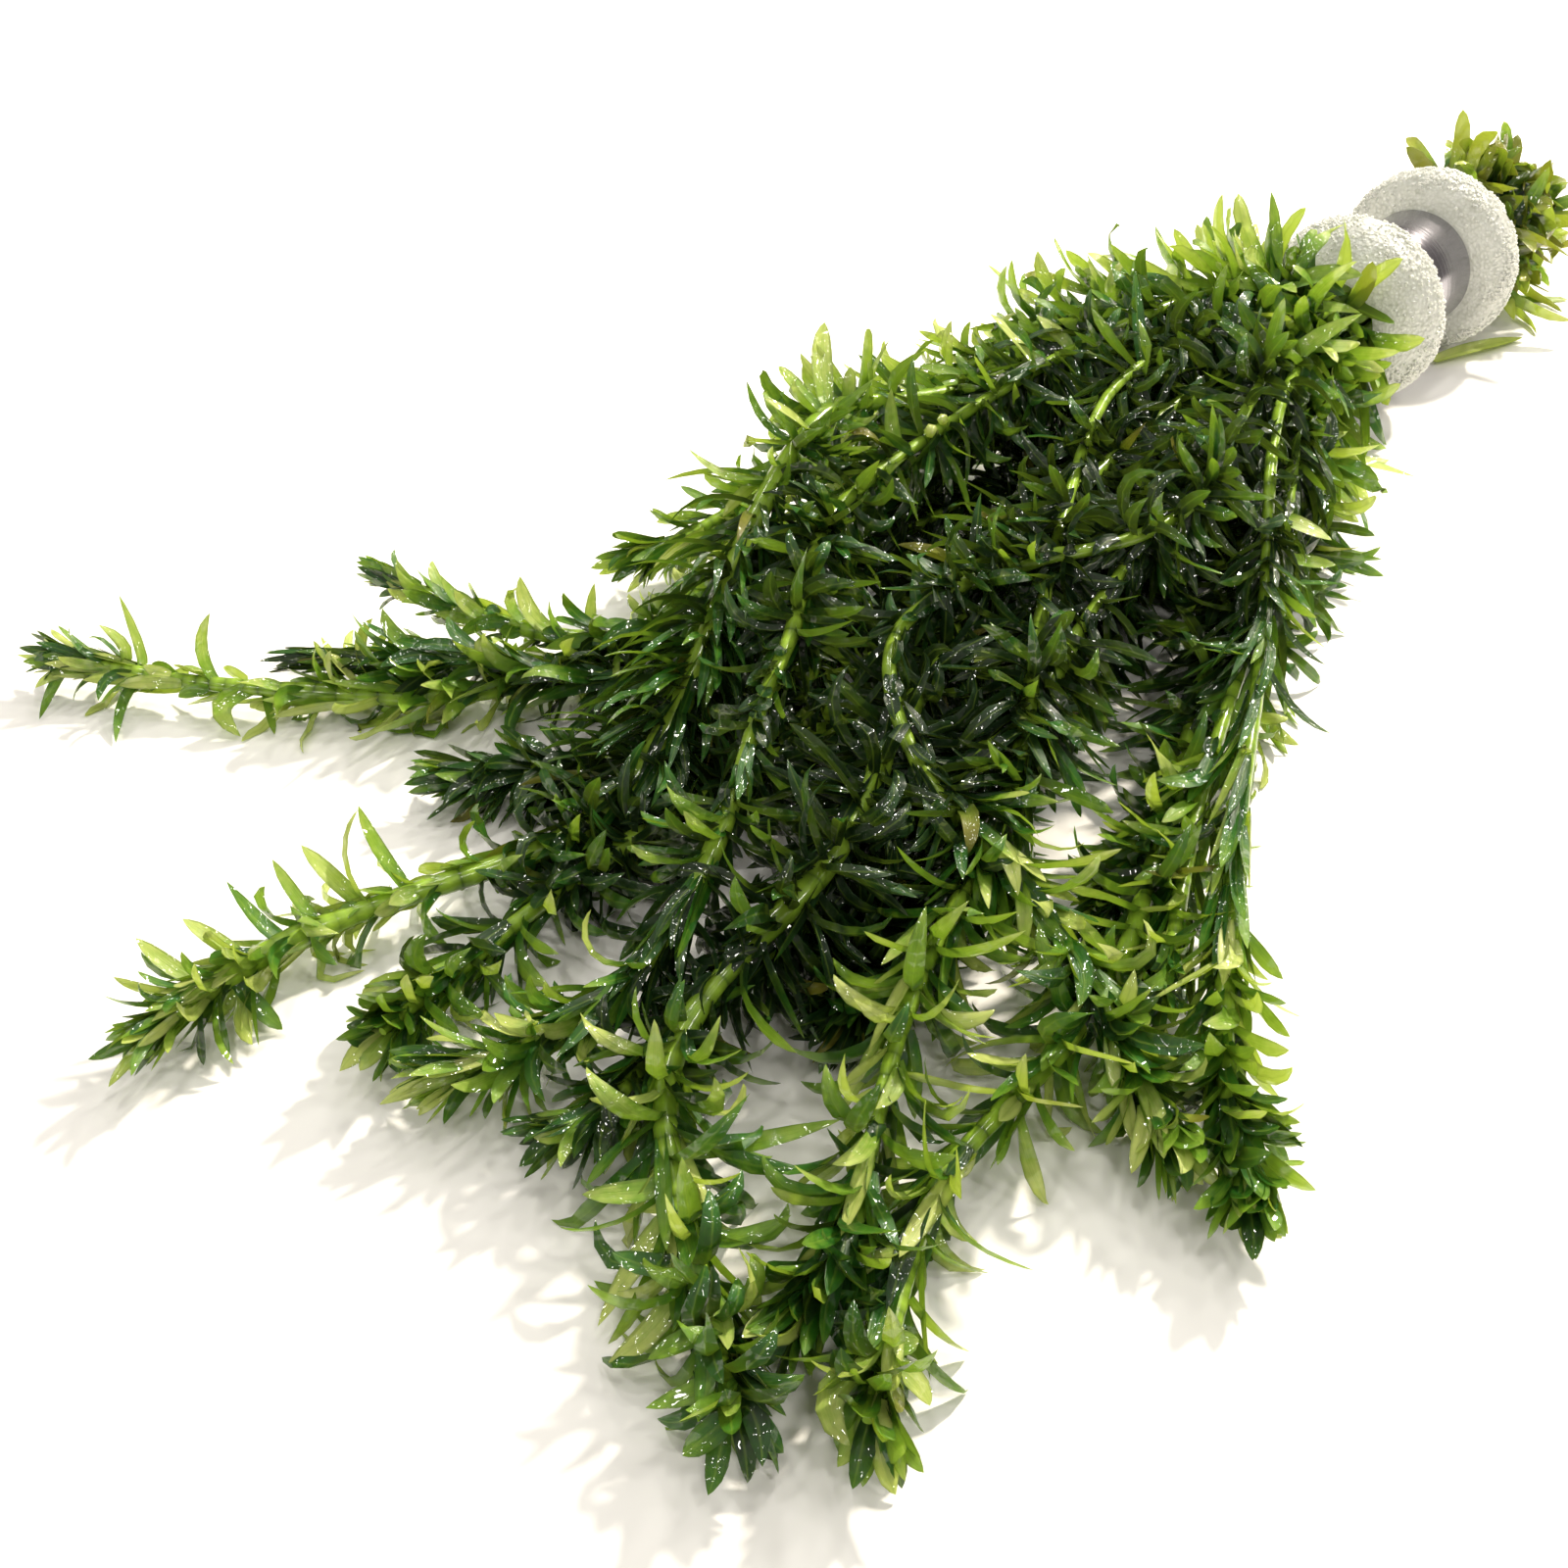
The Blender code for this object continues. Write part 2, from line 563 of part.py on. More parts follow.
def grow_leaves(stems, holder_trees):
    """Give every stem the leaves that have room beside the other stems and the sleeve."""
    rods, bare = {}, {}
    for stem in stems:
        faces = stem.rod_faces()
        groups = [faces[start:start + 24] for start in range(0, len(faces), 24)]
        rods[stem.name] = [(box_of(group), tree_of(group)) for group in groups]
        bare[stem.name] = [solid_faces(group) for group in groups]
    grown = []
    for stem in stems:
        mine = []
        solids = bare[stem.name]
        for station, (_, _, whorl) in enumerate(stem.stations):
            if whorl is None:
                continue
            for side in range(LEAVES_PER_WHORL):
                if stem.pressed_under(station, side):
                    continue
                for foot, corners, wide in stem.leaf_shapes(station, side):
                    trial = leaf_faces(grown_foot(foot), wide)
                    box, tree = box_of(trial), tree_of(trial)
                    lifted = leaf_faces(lifted_foot(foot, corners), corners)
                    own_box, own_tree = box_of(lifted), tree_of(lifted)
                    if any(tree.overlap(holder) for holder in holder_trees):
                        continue
                    others = [part for name, parts in rods.items() if name != stem.name for part in parts]
                    if meets(box, tree, others + grown) or meets(own_box, own_tree, rods[stem.name] + mine):
                        continue
                    exact = leaf_faces(foot, corners)
                    if crosses(exact, solids):
                        continue
                    stem.leaves[station, side] = corners
                    mine.append((own_box, own_tree))
                    solids.append(solid_faces(exact))
                    stem.placed.append((box_of(exact), tree_of(exact)))
                    break
        grown.extend(stem.placed)


def stem_object(stem, colour):
    """Build the rod, then draw each leaf out of its side face."""
    bm = bmesh.new()
    rings = [[bm.verts.new(place) for place in ring] for ring in stem.rings]
    for station, (low, high) in enumerate(zip(rings, rings[1:])):
        for side in range(4):
            after = (side + 1) % 4
            corners = stem.leaves.get((station, side))
            foot = [low[side], low[after], high[after], high[side]]
            if corners is None:
                bm.faces.new(foot)
                continue
            if stem.stations[station][2] == len(stem.whorls) - 1:
                foot = [foot[3], foot[2], foot[1], foot[0]]
            blade = [bm.verts.new(place) for place in corners]
            for face in leaf_faces(foot, blade):
                bm.faces.new(face)
    bm.faces.new(tuple(reversed(rings[0])))
    tip = bm.verts.new(stem.tip_point())
    for side in range(4):
        bm.faces.new((rings[-1][side], rings[-1][(side + 1) % 4], tip))
    finish(bm, stem.name, material(stem.name + "_green", colour, 0.35), 50)


def loose_leaf():
    """The single leaf on the surface: a thin three-sided blade, pointed at both ends."""
    line = smooth_route([(x, y, FLOOR_CLEAR) for x, y in LOOSE_LEAF], 3.0)
    share = np.linspace(0, 1, len(line))
    bm = bmesh.new()
    rings = []
    for place, part, ahead in zip(line, share, np.gradient(line, axis=0)):
        side = np.cross(ahead / np.linalg.norm(ahead), (0, 0, 1.0))
        half = 0.15 + LOOSE_LEAF_WIDTH / 2 * math.sin(math.pi * part ** 0.8) ** 0.8
        top = 0.25 + 0.4 * math.sin(math.pi * part)
        low = np.array([place[0], place[1], 0.06])
        high = np.array([place[0], place[1], 0.06 + top])
        rings.append([bm.verts.new(low - half * side), bm.verts.new(low + half * side), bm.verts.new(high)])
    for first, second in zip(rings, rings[1:]):
        for side in range(3):
            after = (side + 1) % 3
            bm.faces.new((first[side], first[after], second[after], second[side]))
    bm.faces.new(tuple(reversed(rings[0])))
    bm.faces.new(rings[-1])
    finish(bm, "loose_leaf", material("loose_leaf_green", (0.22, 0.38, 0.07), 0.35), 50)


def holder_shapes():
    """The sleeve and band as trees of faces in route millimetres, for the test of clear space."""
    trees = []
    profile = FOAM_PROFILE + [(FOAM_BACK, HOLE_RADIUS), (FOAM_FRONT, HOLE_RADIUS)]
    for grow in (0.0, 0.3):
        swelled = [(along + math.copysign(grow, along + 10), radius + grow) for along, radius in profile[:-2]]
        bm = turned(swelled + profile[-2:], FOAM_SIDES)
        trees.append(BVHTree.FromBMesh(bm))
        bm.free()
    return trees


def main():
    clear_scene()
    foam_sleeve()
    metal_band()
    loose_leaf()
    routes = spread_routes(raw_routes())
    stems = []
    for (name, (_, tail, spread, _, _)), route in zip(STEMS.items(), routes):
        stems.append(Stem(name, route, SEEDS[name], tail, spread))
    grow_leaves(stems, holder_shapes())
    for stem in stems:
        stem_object(stem, STEMS[stem.name][3])


main()
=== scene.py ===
"""Brazilian waterweed: the looks of a wet bunch of leafy stems held by a foam sleeve and a metal band.

Stems and leaves are worked out in millimetres in the bunch's own coordinates, (along, across, height)
from the front of the sleeve's band, and are moved to the frame's origin and to metres at the end.
"""
import math

import bpy
import numpy as np
from mathutils import Matrix, Vector, kdtree


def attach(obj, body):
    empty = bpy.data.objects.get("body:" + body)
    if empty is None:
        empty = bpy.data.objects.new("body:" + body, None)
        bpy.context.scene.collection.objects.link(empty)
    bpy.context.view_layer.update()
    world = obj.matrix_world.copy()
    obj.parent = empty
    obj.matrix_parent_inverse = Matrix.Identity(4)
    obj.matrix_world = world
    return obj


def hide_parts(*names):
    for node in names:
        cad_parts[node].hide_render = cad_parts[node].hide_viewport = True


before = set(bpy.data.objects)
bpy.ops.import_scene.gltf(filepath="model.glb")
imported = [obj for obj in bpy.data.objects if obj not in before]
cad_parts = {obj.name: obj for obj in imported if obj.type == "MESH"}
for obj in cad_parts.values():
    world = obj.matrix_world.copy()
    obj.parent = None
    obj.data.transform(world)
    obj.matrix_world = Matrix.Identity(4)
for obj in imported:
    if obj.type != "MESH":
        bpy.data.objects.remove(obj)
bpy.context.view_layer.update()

bl_info = {
    "name": "Brazilian waterweed",
    "version": (1, 0, 0),
    "blender": (4, 5, 0),
    "location": "View3D > Sidebar > Waterweed",
    "description": "A wet bunch of leafy pond plant stems in a pinched foam sleeve with a metal band",
    "category": "Object",
}

MM = 0.001
SHARP_ANGLE = math.radians(50)
# The frame's origin in the bunch's own coordinates
ORIGIN = np.array([97.41, -3.64, 0.0])

# Camera of the photograph, in the bunch's own coordinates
CAMERA_PLACE = (308.5, 134.4, 170.0)
CAMERA_AHEAD = (-0.5711, -0.5106, -0.6428)
CAMERA_ANGLE = 45.0
UP = np.array([0.0, 0.0, 1.0])

# Foam sleeve and band: the sleeve's axis runs along the bunch at this height
AXIS_HEIGHT = 16.2
FOAM_FRONT = 12.0
FOAM_BACK = -32.0
WAIST_RADIUS = 9.8
RIM_RADIUS = 16.9
# The sleeve's closed outline as (along, radius), its outside first, and how many points that has
FOAM_SHAPE = [
    (12.0, 8.6), (11.7, 10.6), (10.4, 13.4), (7.8, 15.9), (4.6, 16.9), (1.9, 16.5), (0.7, 14.6),
    (0.5, 12.4), (0.5, 10.4), (-0.6, 9.5), (-4.0, 9.5), (-10.0, 9.5), (-16.0, 9.5), (-19.0, 9.5),
    (-20.0, 10.4), (-20.1, 12.4), (-20.4, 14.4), (-21.8, 16.3), (-24.6, 16.9), (-27.6, 16.1),
    (-30.2, 13.8), (-31.6, 10.9), (-32.0, 8.6), (-31.0, 7.4), (-26.0, 7.2), (-18.0, 7.1), (-8.0, 7.1),
    (2.0, 7.1), (8.0, 7.2), (11.2, 7.5),
]
FOAM_OUTSIDE = 23
FOAM_POINTS = 230
FOAM_SIDES = 240
WATER_BEADS = 4200
BAND_FRONT = 0.0
BAND_BACK = -19.5
BAND_OUTER = 10.8
BAND_INNER = 10.0
BAND_CORNER = 0.3
BAND_SIDES = 160

# Stems: the same slots, routes and spacing as the frame's stems have. One slot is on the sleeve's
# axis and the others lie in two rings round it.
STEM_RADIUS = 1.25
SLOT_RADII = (0.0, 2.9, 5.78)
STEM_LIFT = 2.2
SLEEVE_SPACING = 3.0
FAN_SPACING = 4.3
FAN_OPENS_OVER = 22.0
ROUTE_STEP = 1.5
# Where a stem is held in the sleeve, and how a cut end spreads sideways, up and with its length
SLEEVE_MARKS = (FOAM_BACK - 3, -12, FOAM_FRONT + 1)
TAIL_SPREAD = (1.5, 1.6, 0.12)
# Stems that run too close are nudged apart in rounds: the share of the overlap that a round takes
# away, its longest nudge, and by how much a stem is smoothed and drawn back to its own route
NUDGE_ROUNDS = 90
NUDGE = 0.35
LONGEST_NUDGE = 0.8
SMOOTHING = 0.25
HOMING = 0.01

# The stem as it is drawn is a rod of this radius, thicker or thinner on some stems
ROD_RADIUS = 0.95
ROD_SIDES = 10
ROD_SIZE = {"long_middle_stem": 1.2, "far_left_stem": 1.15, "elbow_stem": 1.35, "top_middle_stem": 0.9,
            "left_curl_stem": 1.2}

# Leaves: rows as shares from foot to tip, the row that counts as the middle, and vertices in one
LEAF_ROWS = np.array([0.0, 0.14, 0.3, 0.48, 0.66, 0.82, 0.94, 1.0])
MIDDLE_ROW = 3
LEAF_VERTICES = 4 * (len(LEAF_ROWS) - 1) + 1
LEAVES_PER_WHORL = 4
YOUNG_LEAF = 5.6
EXTRA_LEAVES = 0.45
# Least heights of a blade's left margin, upper middle, right margin and lower middle, and the
# bounds that middle lines keep to: the least height, the greatest height and the farthest back
BLADE_FLOOR = (0.12, 0.26, 0.12, 0.04)
SURFACE_CLEAR = 0.35
HIGHEST = 44.6
FARTHEST_BACK = -60.5
# Angles of grown leaves from their stem in degrees, as the least and how much more it may be: at
# the foot of stray, clinging, curled and standing ones, and at the tip of the last three. Then the
# angles of young leaves at foot and tip.
FOOT_ANGLES = ((40, 55), (3, 14), (24, 36), (22, 42))
TIP_ANGLES = ((8, 34), (105, 80), (50, 50))
YOUNG_ANGLES = (8, 26)
# Distances from a growing tip over which its stem thickens, and its leaves open and lengthen
ROD_GROWTH = 9.0
LEAF_OPENING = 11.0
LEAF_GROWTH = 13.0
# How much longer the oldest leaves are, and which share of the leaves on a bare stretch are stubs
OLD_LEAF_MORE = 3.8
STUB_SHARE = 0.75
# How near a leaf in front of what the photograph shows hides it, and the share of such that stays
HIDING_REACH = 1.35
HIDING_SHARE = 0.28
# How near other stems' points count as a crowd, and how many of them are a dense bundle, for the
# painted shade on the stems. Then how near points of any stem add to the depth in leaves, and what a
# stem of its own adds up to, for the painted shade on the leaves.
CROWD_REACH = 13.0
CROWD_FULL = 55
LAYER_REACH = 8.0
LAYER_OF_ONE = 4.7

# Zones of the fan, each as the place where it fades in and the place where it is full, along the
# bunch: where more leaves slip, where leaves are loose and where leaf feet sheathe the stems, then
# where leaves are oldest, and from where the fan's right edge is thin
SLIPPING = (120, 180)
LOOSE = (120, 170)
SHEATHED = (110, 160)
OLDEST = (75, 25)
THIN_EDGE = (60, 75)
# The four sides of the fan's heart, where painted shade darkens the leaves, along and across, and the height
# of its hollow, where that painted shade is darkest
HEART_ALONG = ((38, 68), (220, 186))
HEART_ACROSS = ((46, 32), (-38, -18))
HOLLOW_HEIGHT = (22, 14)
HOLLOW_SIZE = 22

# Each stem: its slot in the sleeve, how far its cut end sticks out behind, how wide its leaves
# open (1 is fully), its finish, and its route of (along, across, height) in front of the sleeve.
STEMS = {
    "far_left_stem": ((2, 180), 17, 0.85, "light_green", [
        (32, -15, 17), (56, -28, 15), (88, -34, 11), (120, -35, 8), (150, -34, 6), (174, -42, 5),
        (186, -53, 5), (196, -67, 5), (205, -81, 5), (212, -95, 6)]),
    "short_left_stem": ((2, 150), 13, 0.9, "mid_green", [
        (26, -11, 23), (44, -22, 26), (66, -31, 23), (90, -37, 17), (112, -42, 12), (128, -45, 9),
        (140, -48, 8)]),
    "left_curl_stem": ((1, 180), 21, 0.75, "light_green", [
        (32, -9, 17), (60, -19, 16), (98, -24, 14), (132, -25, 12), (153, -28, 10), (163, -38, 10),
        (168, -54, 10), (171, -70, 11)]),
    "dark_tip_stem": ((2, 210), 15, 0.65, "dark_green", [
        (34, -9, 11), (60, -17, 8), (95, -22, 7), (130, -22, 6), (152, -22, 6), (166, -31, 8),
        (175, -45, 9), (183, -55, 9), (190, -65, 8)]),
    "low_left_stem": ((2, 240), 18, 0.8, "dark_green", [
        (30, -6, 10), (60, -12, 6), (95, -13, 5), (130, -12, 5), (152, -13, 5), (170, -13, 6),
        (181, -22, 5), (192, -31, 6)]),
    "elbow_stem": ((2, 120), 12, 1.0, "light_green", [
        (26, -7, 25), (46, -15, 28), (78, -21, 25), (104, -25, 29), (120, -25, 35), (136, -21, 32),
        (149, -17, 26), (162, -11, 20), (176, -7, 13), (190, -6, 9), (204, -13, 7), (220, -20, 6),
        (234, -22, 6), (247, -20, 7)]),
    "hooked_stem": ((1, 240), 20, 0.95, "mid_green", [
        (30, -3, 13), (60, -3, 10), (95, -1, 8), (125, 1, 7), (150, 2, 8), (174, 1, 9),
        (190, -1, 9), (204, -2, 7), (217, -2, 6), (228, 0, 7)]),
    "top_left_stem": ((2, 90), 16, 0.9, "light_green", [
        (26, -2, 26), (46, -7, 32), (78, -12, 32), (110, -14, 30), (134, -13, 28), (150, -3, 28),
        (161, 3, 27), (172, 8, 26), (184, 15, 23), (195, 19, 18), (206, 20, 13), (216, 17, 9),
        (223, 13, 7), (229, 9, 7)]),
    "middle_stem": ((0, 0), 22, 0.9, "mid_green", [
        (30, 3, 18), (55, 8, 21), (84, 16, 24), (110, 23, 26), (130, 27, 25), (145, 30, 22),
        (162, 28, 17), (178, 28, 12), (194, 26, 9), (206, 26, 8), (216, 28, 7), (225, 26, 7)]),
    "long_middle_stem": ((1, 60), 14, 1.05, "mid_green", [
        (28, 1, 21), (50, 2, 24), (78, 4, 25), (106, 7, 24), (135, 12, 22), (160, 20, 20),
        (182, 28, 18), (198, 28, 15), (212, 30, 11), (220, 39, 8), (227, 49, 7), (232, 57, 6),
        (237, 64, 7)]),
    "top_middle_stem": ((1, 120), 19, 0.85, "light_green", [
        (26, 0, 23), (50, -2, 29), (80, -1, 32), (98, 5, 31), (114, 13, 30), (128, 20, 28),
        (148, 32, 22), (167, 40, 17), (183, 44, 15), (197, 50, 12), (208, 56, 9), (218, 61, 8),
        (226, 61, 7)]),
    "low_right_stem": ((2, 330), 15, 0.85, "mid_green", [
        (28, 6, 14), (55, 13, 11), (85, 25, 9), (115, 38, 8), (145, 51, 8), (168, 60, 9),
        (188, 61, 8), (201, 61, 7), (212, 65, 6), (221, 70, 6), (229, 74, 7)]),
    "bent_stem": ((2, 60), 18, 0.85, "light_green", [
        (30, 4, 24), (58, 12, 28), (84, 20, 30), (104, 26, 30), (122, 21, 30), (138, 13, 30),
        (151, 12, 29), (158, 17, 27), (163, 25, 23), (166, 34, 20), (168, 45, 17), (170, 56, 13),
        (174, 65, 9), (178, 72, 7), (181, 78, 7)]),
    "right_stem": ((2, 30), 13, 0.6, "mid_green", [
        (32, 6, 23), (56, 14, 27), (80, 26, 26), (98, 37, 21), (112, 45, 18), (126, 52, 16),
        (140, 59, 14), (154, 67, 11), (166, 74, 9), (176, 82, 7), (182, 88, 7)]),
    "inner_right_stem": ((2, 0), 20, 0.7, "mid_green", [
        (30, 7, 17), (54, 17, 18), (78, 29, 18), (100, 38, 16), (120, 45, 14), (140, 53, 11),
        (156, 61, 9), (166, 66, 9)]),
    "under_right_stem": ((2, 300), 16, 0.9, "dark_green", [
        (26, 7, 11), (42, 17, 8), (62, 26, 6), (86, 34, 5), (110, 42, 5), (134, 48, 5),
        (156, 50, 5)]),
    "under_middle_stem": ((2, 270), 14, 0.9, "dark_green", [
        (28, 1, 9), (60, 5, 5), (100, 11, 5), (138, 18, 5), (166, 26, 5), (188, 38, 6)]),
}
# Where random draws start: for a stem's whorls, for its leaves with LEAF_SEED added, and for beads
SEEDS = {name: 11 + 7 * place for place, name in enumerate(STEMS)}
LEAF_SEED = 5000
BEAD_SEED = 77
# Tone of each finish, from 0 for the darkest leaf to 1 for the lightest
BASE_TONE = {"light_green": 0.62, "mid_green": 0.5, "dark_green": 0.43}
# How far the young leaves at a growing tip open, where 1 is a half-closed brush
TIP_FLARE = {"right_stem": 1.9, "long_middle_stem": 1.9, "low_right_stem": 1.8, "bent_stem": 1.4,
             "top_middle_stem": 1.5, "dark_tip_stem": 0.4, "left_curl_stem": 0.8, "hooked_stem": 1.6}
# Stems whose leaves are larger or smaller than on the rest
LEAF_SIZE = {"long_middle_stem": 1.25, "low_right_stem": 1.15, "top_middle_stem": 1.12,
             "left_curl_stem": 0.8, "far_left_stem": 0.92, "elbow_stem": 1.02, "right_stem": 0.95,
             "inner_right_stem": 0.88, "under_right_stem": 0.88, "under_middle_stem": 1.45}
# Stems whose leaves are lighter or darker than their finish says
STEM_TONE = {"elbow_stem": 0.07, "far_left_stem": 0.1, "short_left_stem": 0.06,
             "top_middle_stem": -0.06, "middle_stem": -0.08, "under_right_stem": 0.1,
             "inner_right_stem": 0.05}
# Stretches of a stem, as two distances from its tip and a share: bare of leaves, with wet leaves
# pressed flat along it, and with leaves that stand up
BARE = {
    "right_stem": [(112, 163, 0.95)], "top_middle_stem": [(16, 38, 0.55), (130, 161, 0.9)],
    "middle_stem": [(95, 120, 0.8)], "bent_stem": [(56, 86, 0.9), (106, 116, 0.8)],
    "top_left_stem": [(52, 80, 0.8)], "long_middle_stem": [(50, 62, 0.7)],
    "elbow_stem": [(26, 54, 0.65)], "far_left_stem": [(15, 36, 0.7)], "left_curl_stem": [(9, 36, 0.5)],
    "low_right_stem": [(34, 46, 0.5)], "inner_right_stem": [(46, 60, 0.8)],
    "hooked_stem": [(20, 34, 0.4)]}
PRESSED = {
    "elbow_stem": [(0, 16, 0.6), (68, 120, 1.0)], "right_stem": [(40, 98, 0.9)],
    "left_curl_stem": [(0, 9, 0.8)], "dark_tip_stem": [(0, 18, 0.9)],
    "top_left_stem": [(20, 44, 0.8)], "inner_right_stem": [(62, 110, 0.8)],
    "far_left_stem": [(0, 14, 0.7)]}
PERKED = {"elbow_stem": [(126, 152, 1.0)], "short_left_stem": [(60, 110, 1.0)]}

# Single leaves that stand out: distance of the foot from the stem's tip, middle, tip, width, tone
OWN_LEAVES = {
    "far_left_stem": [
        (12.8, (204.4, -84.4, 7), (203, -89.2, 14.8), 1.6, 0.85),
        (25.3, (199.4, -76.2, 9.5), (196, -77.2, 13.5), 2.2, 0.85),
        (9.9, (205.6, -86.7, 7.8), (206.9, -89.8, 11.2), 2, 0.9),
        (2.8, (214.4, -92.4, 3.9), (219.1, -90.6, 0.5), 1.6, 0.6),
        (14.2, (209.6, -82.5, 2.8), (214.8, -77.6, 0.5), 1.6, 0.6),
        (30.9, (202.1, -69.1, 4), (202, -65.4, 0.5), 3, 0.85),
        (32.4, (197.3, -64.6, 2.7), (198.5, -62.2, 0.5), 1.6, 0.7),
        (81.6, (157.7, -38.8, 10), (154.7, -40.3, 14.5), 2.2, 0.9)],
    "short_left_stem": [
        (18.8, (124.3, -47.8, 12), (126, -50.7, 13.8), 1.6, 0.6),
        (16.1, (126.4, -46.2, 9.9), (131.1, -49.1, 8.2), 0.9, 0.3),
        (68.6, (73.8, -35.4, 24.2), (72.1, -35.5, 27.2), 1.5, 0.8),
        (74.6, (70.5, -34.8, 22.5), (69.7, -36, 25.5), 2.2, 0.9),
        (101.5, (45.1, -26.9, 29.8), (46.2, -30.8, 31.8), 3.2, 0.95),
        (91.2, (53.6, -26.3, 24.9), (53.5, -29.5, 28.2), 2.4, 0.6)],
    "left_curl_stem": [
        (31.8, (165, -43.1, 13), (163.6, -46.2, 17.5), 2.8, 0.95)],
    "elbow_stem": [
        (136.6, (117.7, -28.9, 39.2), (113.1, -32.3, 43.2), 3.2, 0.95),
        (135.2, (123.9, -29.1, 38.5), (124.5, -31.2, 40.8), 2.8, 0.85),
        (141.9, (115.2, -25.7, 36), (114.2, -26.2, 38.5), 2.2, 0.9),
        (128.3, (131.6, -27.3, 36), (131.2, -31.2, 41.2), 1.4, 0.6),
        (119.7, (141.5, -25.5, 32.2), (143.8, -30.8, 35.8), 2, 0.85),
        (161.7, (99.4, -27.4, 28.9), (101.2, -30.6, 30.2), 2.6, 0.9),
        (170.5, (90.1, -25.7, 28.1), (92.7, -29.9, 29), 2.2, 0.75),
        (37.4, (211, -21.4, 11.4), (210.1, -25, 15.8), 2.4, 0.8),
        (31.5, (217.2, -22.3, 9.5), (218.1, -26.7, 13.5), 2.6, 0.9),
        (25.7, (222, -23.6, 9.1), (221.9, -27.5, 13.2), 1.8, 0.8),
        (21.4, (227.3, -23.8, 7.9), (227.8, -28.9, 12.8), 2.6, 0.6),
        (15.8, (232.9, -24.9, 8.6), (234.6, -28.6, 11.5), 2.4, 0.9),
        (10.2, (239.2, -25.2, 9), (240.5, -29.2, 12.2), 2.2, 0.9),
        (13, (233.5, -17.8, 3), (232.6, -14.6, 0.5), 2.4, 0.6)],
    "top_left_stem": [
        (126.7, (116.3, -16.3, 31.8), (114.2, -18.5, 37.8), 2.4, 0.8),
        (157.6, (86, -16, 34.9), (87.3, -21.1, 38.8), 3.2, 0.95),
        (165.1, (78.2, -14.1, 33.8), (79.1, -17.9, 36.5), 2.6, 0.9),
        (213.9, (28.1, -5.3, 34.5), (26, -8.9, 42.5), 2.3, 0.75),
        (215.2, (25.3, 2.4, 30.8), (22.1, 8.4, 31.5), 3.2, 0.8)],
    "middle_stem": [
        (17.5, (205.7, 25.8, 9.6), (197.3, 30.6, 12.2), 3, 0.55),
        (3.9, (225.3, 25.8, 5.8), (229.5, 24.8, 4.5), 2.8, 0.35)],
    "long_middle_stem": [
        (209.1, (49.9, -0.3, 25.4), (50.1, -2.7, 27), 2.8, 0.5),
        (24.8, (228.1, 43.3, 5.5), (236.6, 44.3, 1.5), 2.6, 0.95),
        (18, (233.4, 49.9, 4), (239.3, 48.5, 2), 2.6, 0.95),
        (18, (230.3, 46.1, 7), (232.3, 42.6, 8.2), 2.6, 0.5),
        (31.7, (214.4, 42.5, 8.5), (204.8, 50.2, 10.8), 2.2, 0.75),
        (22, (222.2, 49.8, 6.5), (216.4, 53.1, 8), 2.2, 0.7),
        (27.6, (225.1, 38.6, 7.6), (229.2, 34.8, 8), 2.6, 0.8),
        (9.8, (234.2, 54.4, 6), (237.5, 52.7, 5.2), 2.6, 0.7),
        (4.2, (236.2, 59.9, 6.2), (241.6, 56.5, 5.5), 2.6, 0.7),
        (0, (239.8, 63.3, 6.1), (242.7, 62.6, 5.2), 2.8, 0.6),
        (0, (235.7, 65.3, 7), (238.2, 68.8, 4.5), 2.8, 0.3)],
    "top_middle_stem": [
        (213.7, (26.5, 4.2, 25.8), (24, 10.2, 26), 3, 0.8),
        (169.2, (71.8, -4.2, 36.5), (67.7, -8.3, 43.2), 2.6, 0.5)],
    "low_right_stem": [
        (7.4, (221.9, 73.9, 5.2), (222.3, 76.5, 4.2), 2.8, 0.95),
        (8.9, (219.9, 71, 6.5), (218.6, 72, 6.8), 2.6, 0.8),
        (7.5, (229.5, 69.7, 7.5), (231.2, 73.8, 5), 3, 0.9),
        (30.7, (203.8, 64.2, 4.2), (203.1, 67.8, 3.2), 2.4, 0.9),
        (22.1, (210.8, 65.8, 4.8), (212.2, 67.6, 3.2), 1.6, 0.8)],
    "right_stem": [
        (158.4, (44.8, 11.6, 28.2), (39.6, 17.4, 34), 3.4, 0.8),
        (158.4, (48.8, 7.2, 25.1), (55, 1.6, 20), 3.2, 0.55),
        (100.9, (99.3, 42, 15.5), (98.7, 48.5, 12.5), 1.2, 0.25),
        (84.8, (112.1, 50.7, 13.8), (111.1, 56.4, 11.8), 1.4, 0.3)],
    "inner_right_stem": [
        (80.9, (89.7, 39.1, 17.5), (87.4, 43.4, 18.2), 1, 0.5),
        (86.8, (84.7, 36.5, 17.5), (83, 40.3, 17.8), 2, 0.8),
        (95.9, (77.6, 30.8, 18), (76.3, 36, 17), 3, 0.9)],
    "under_right_stem": [
        (121.2, (39.8, 17.5, 8.5), (35.4, 30.7, 7.5), 2.8, 0.9),
        (116.8, (44.2, 22.3, 5.5), (43.9, 26.5, 3.2), 2.6, 0.85),
        (108.1, (51.3, 25.4, 5.9), (50.4, 28.9, 5), 3, 0.9)],
}
# Middle of a lane between low stems that leaves fall into and cover, and of the hollow between
# the stems that part in front, where painted shade is darkest, as (along, across)
LANE = (118, 28, 9)
HOLLOW = (178, 22)
# Two young buds that sit on a stem: their middles, and their radii
BUDS = {"top_left_stem": (np.array([(111.3, -13.0, 31.6), (107.5, -13.8, 31.6)]), np.array([1.15, 0.95]))}
NO_BUDS = (np.zeros((0, 3)), np.zeros(0))

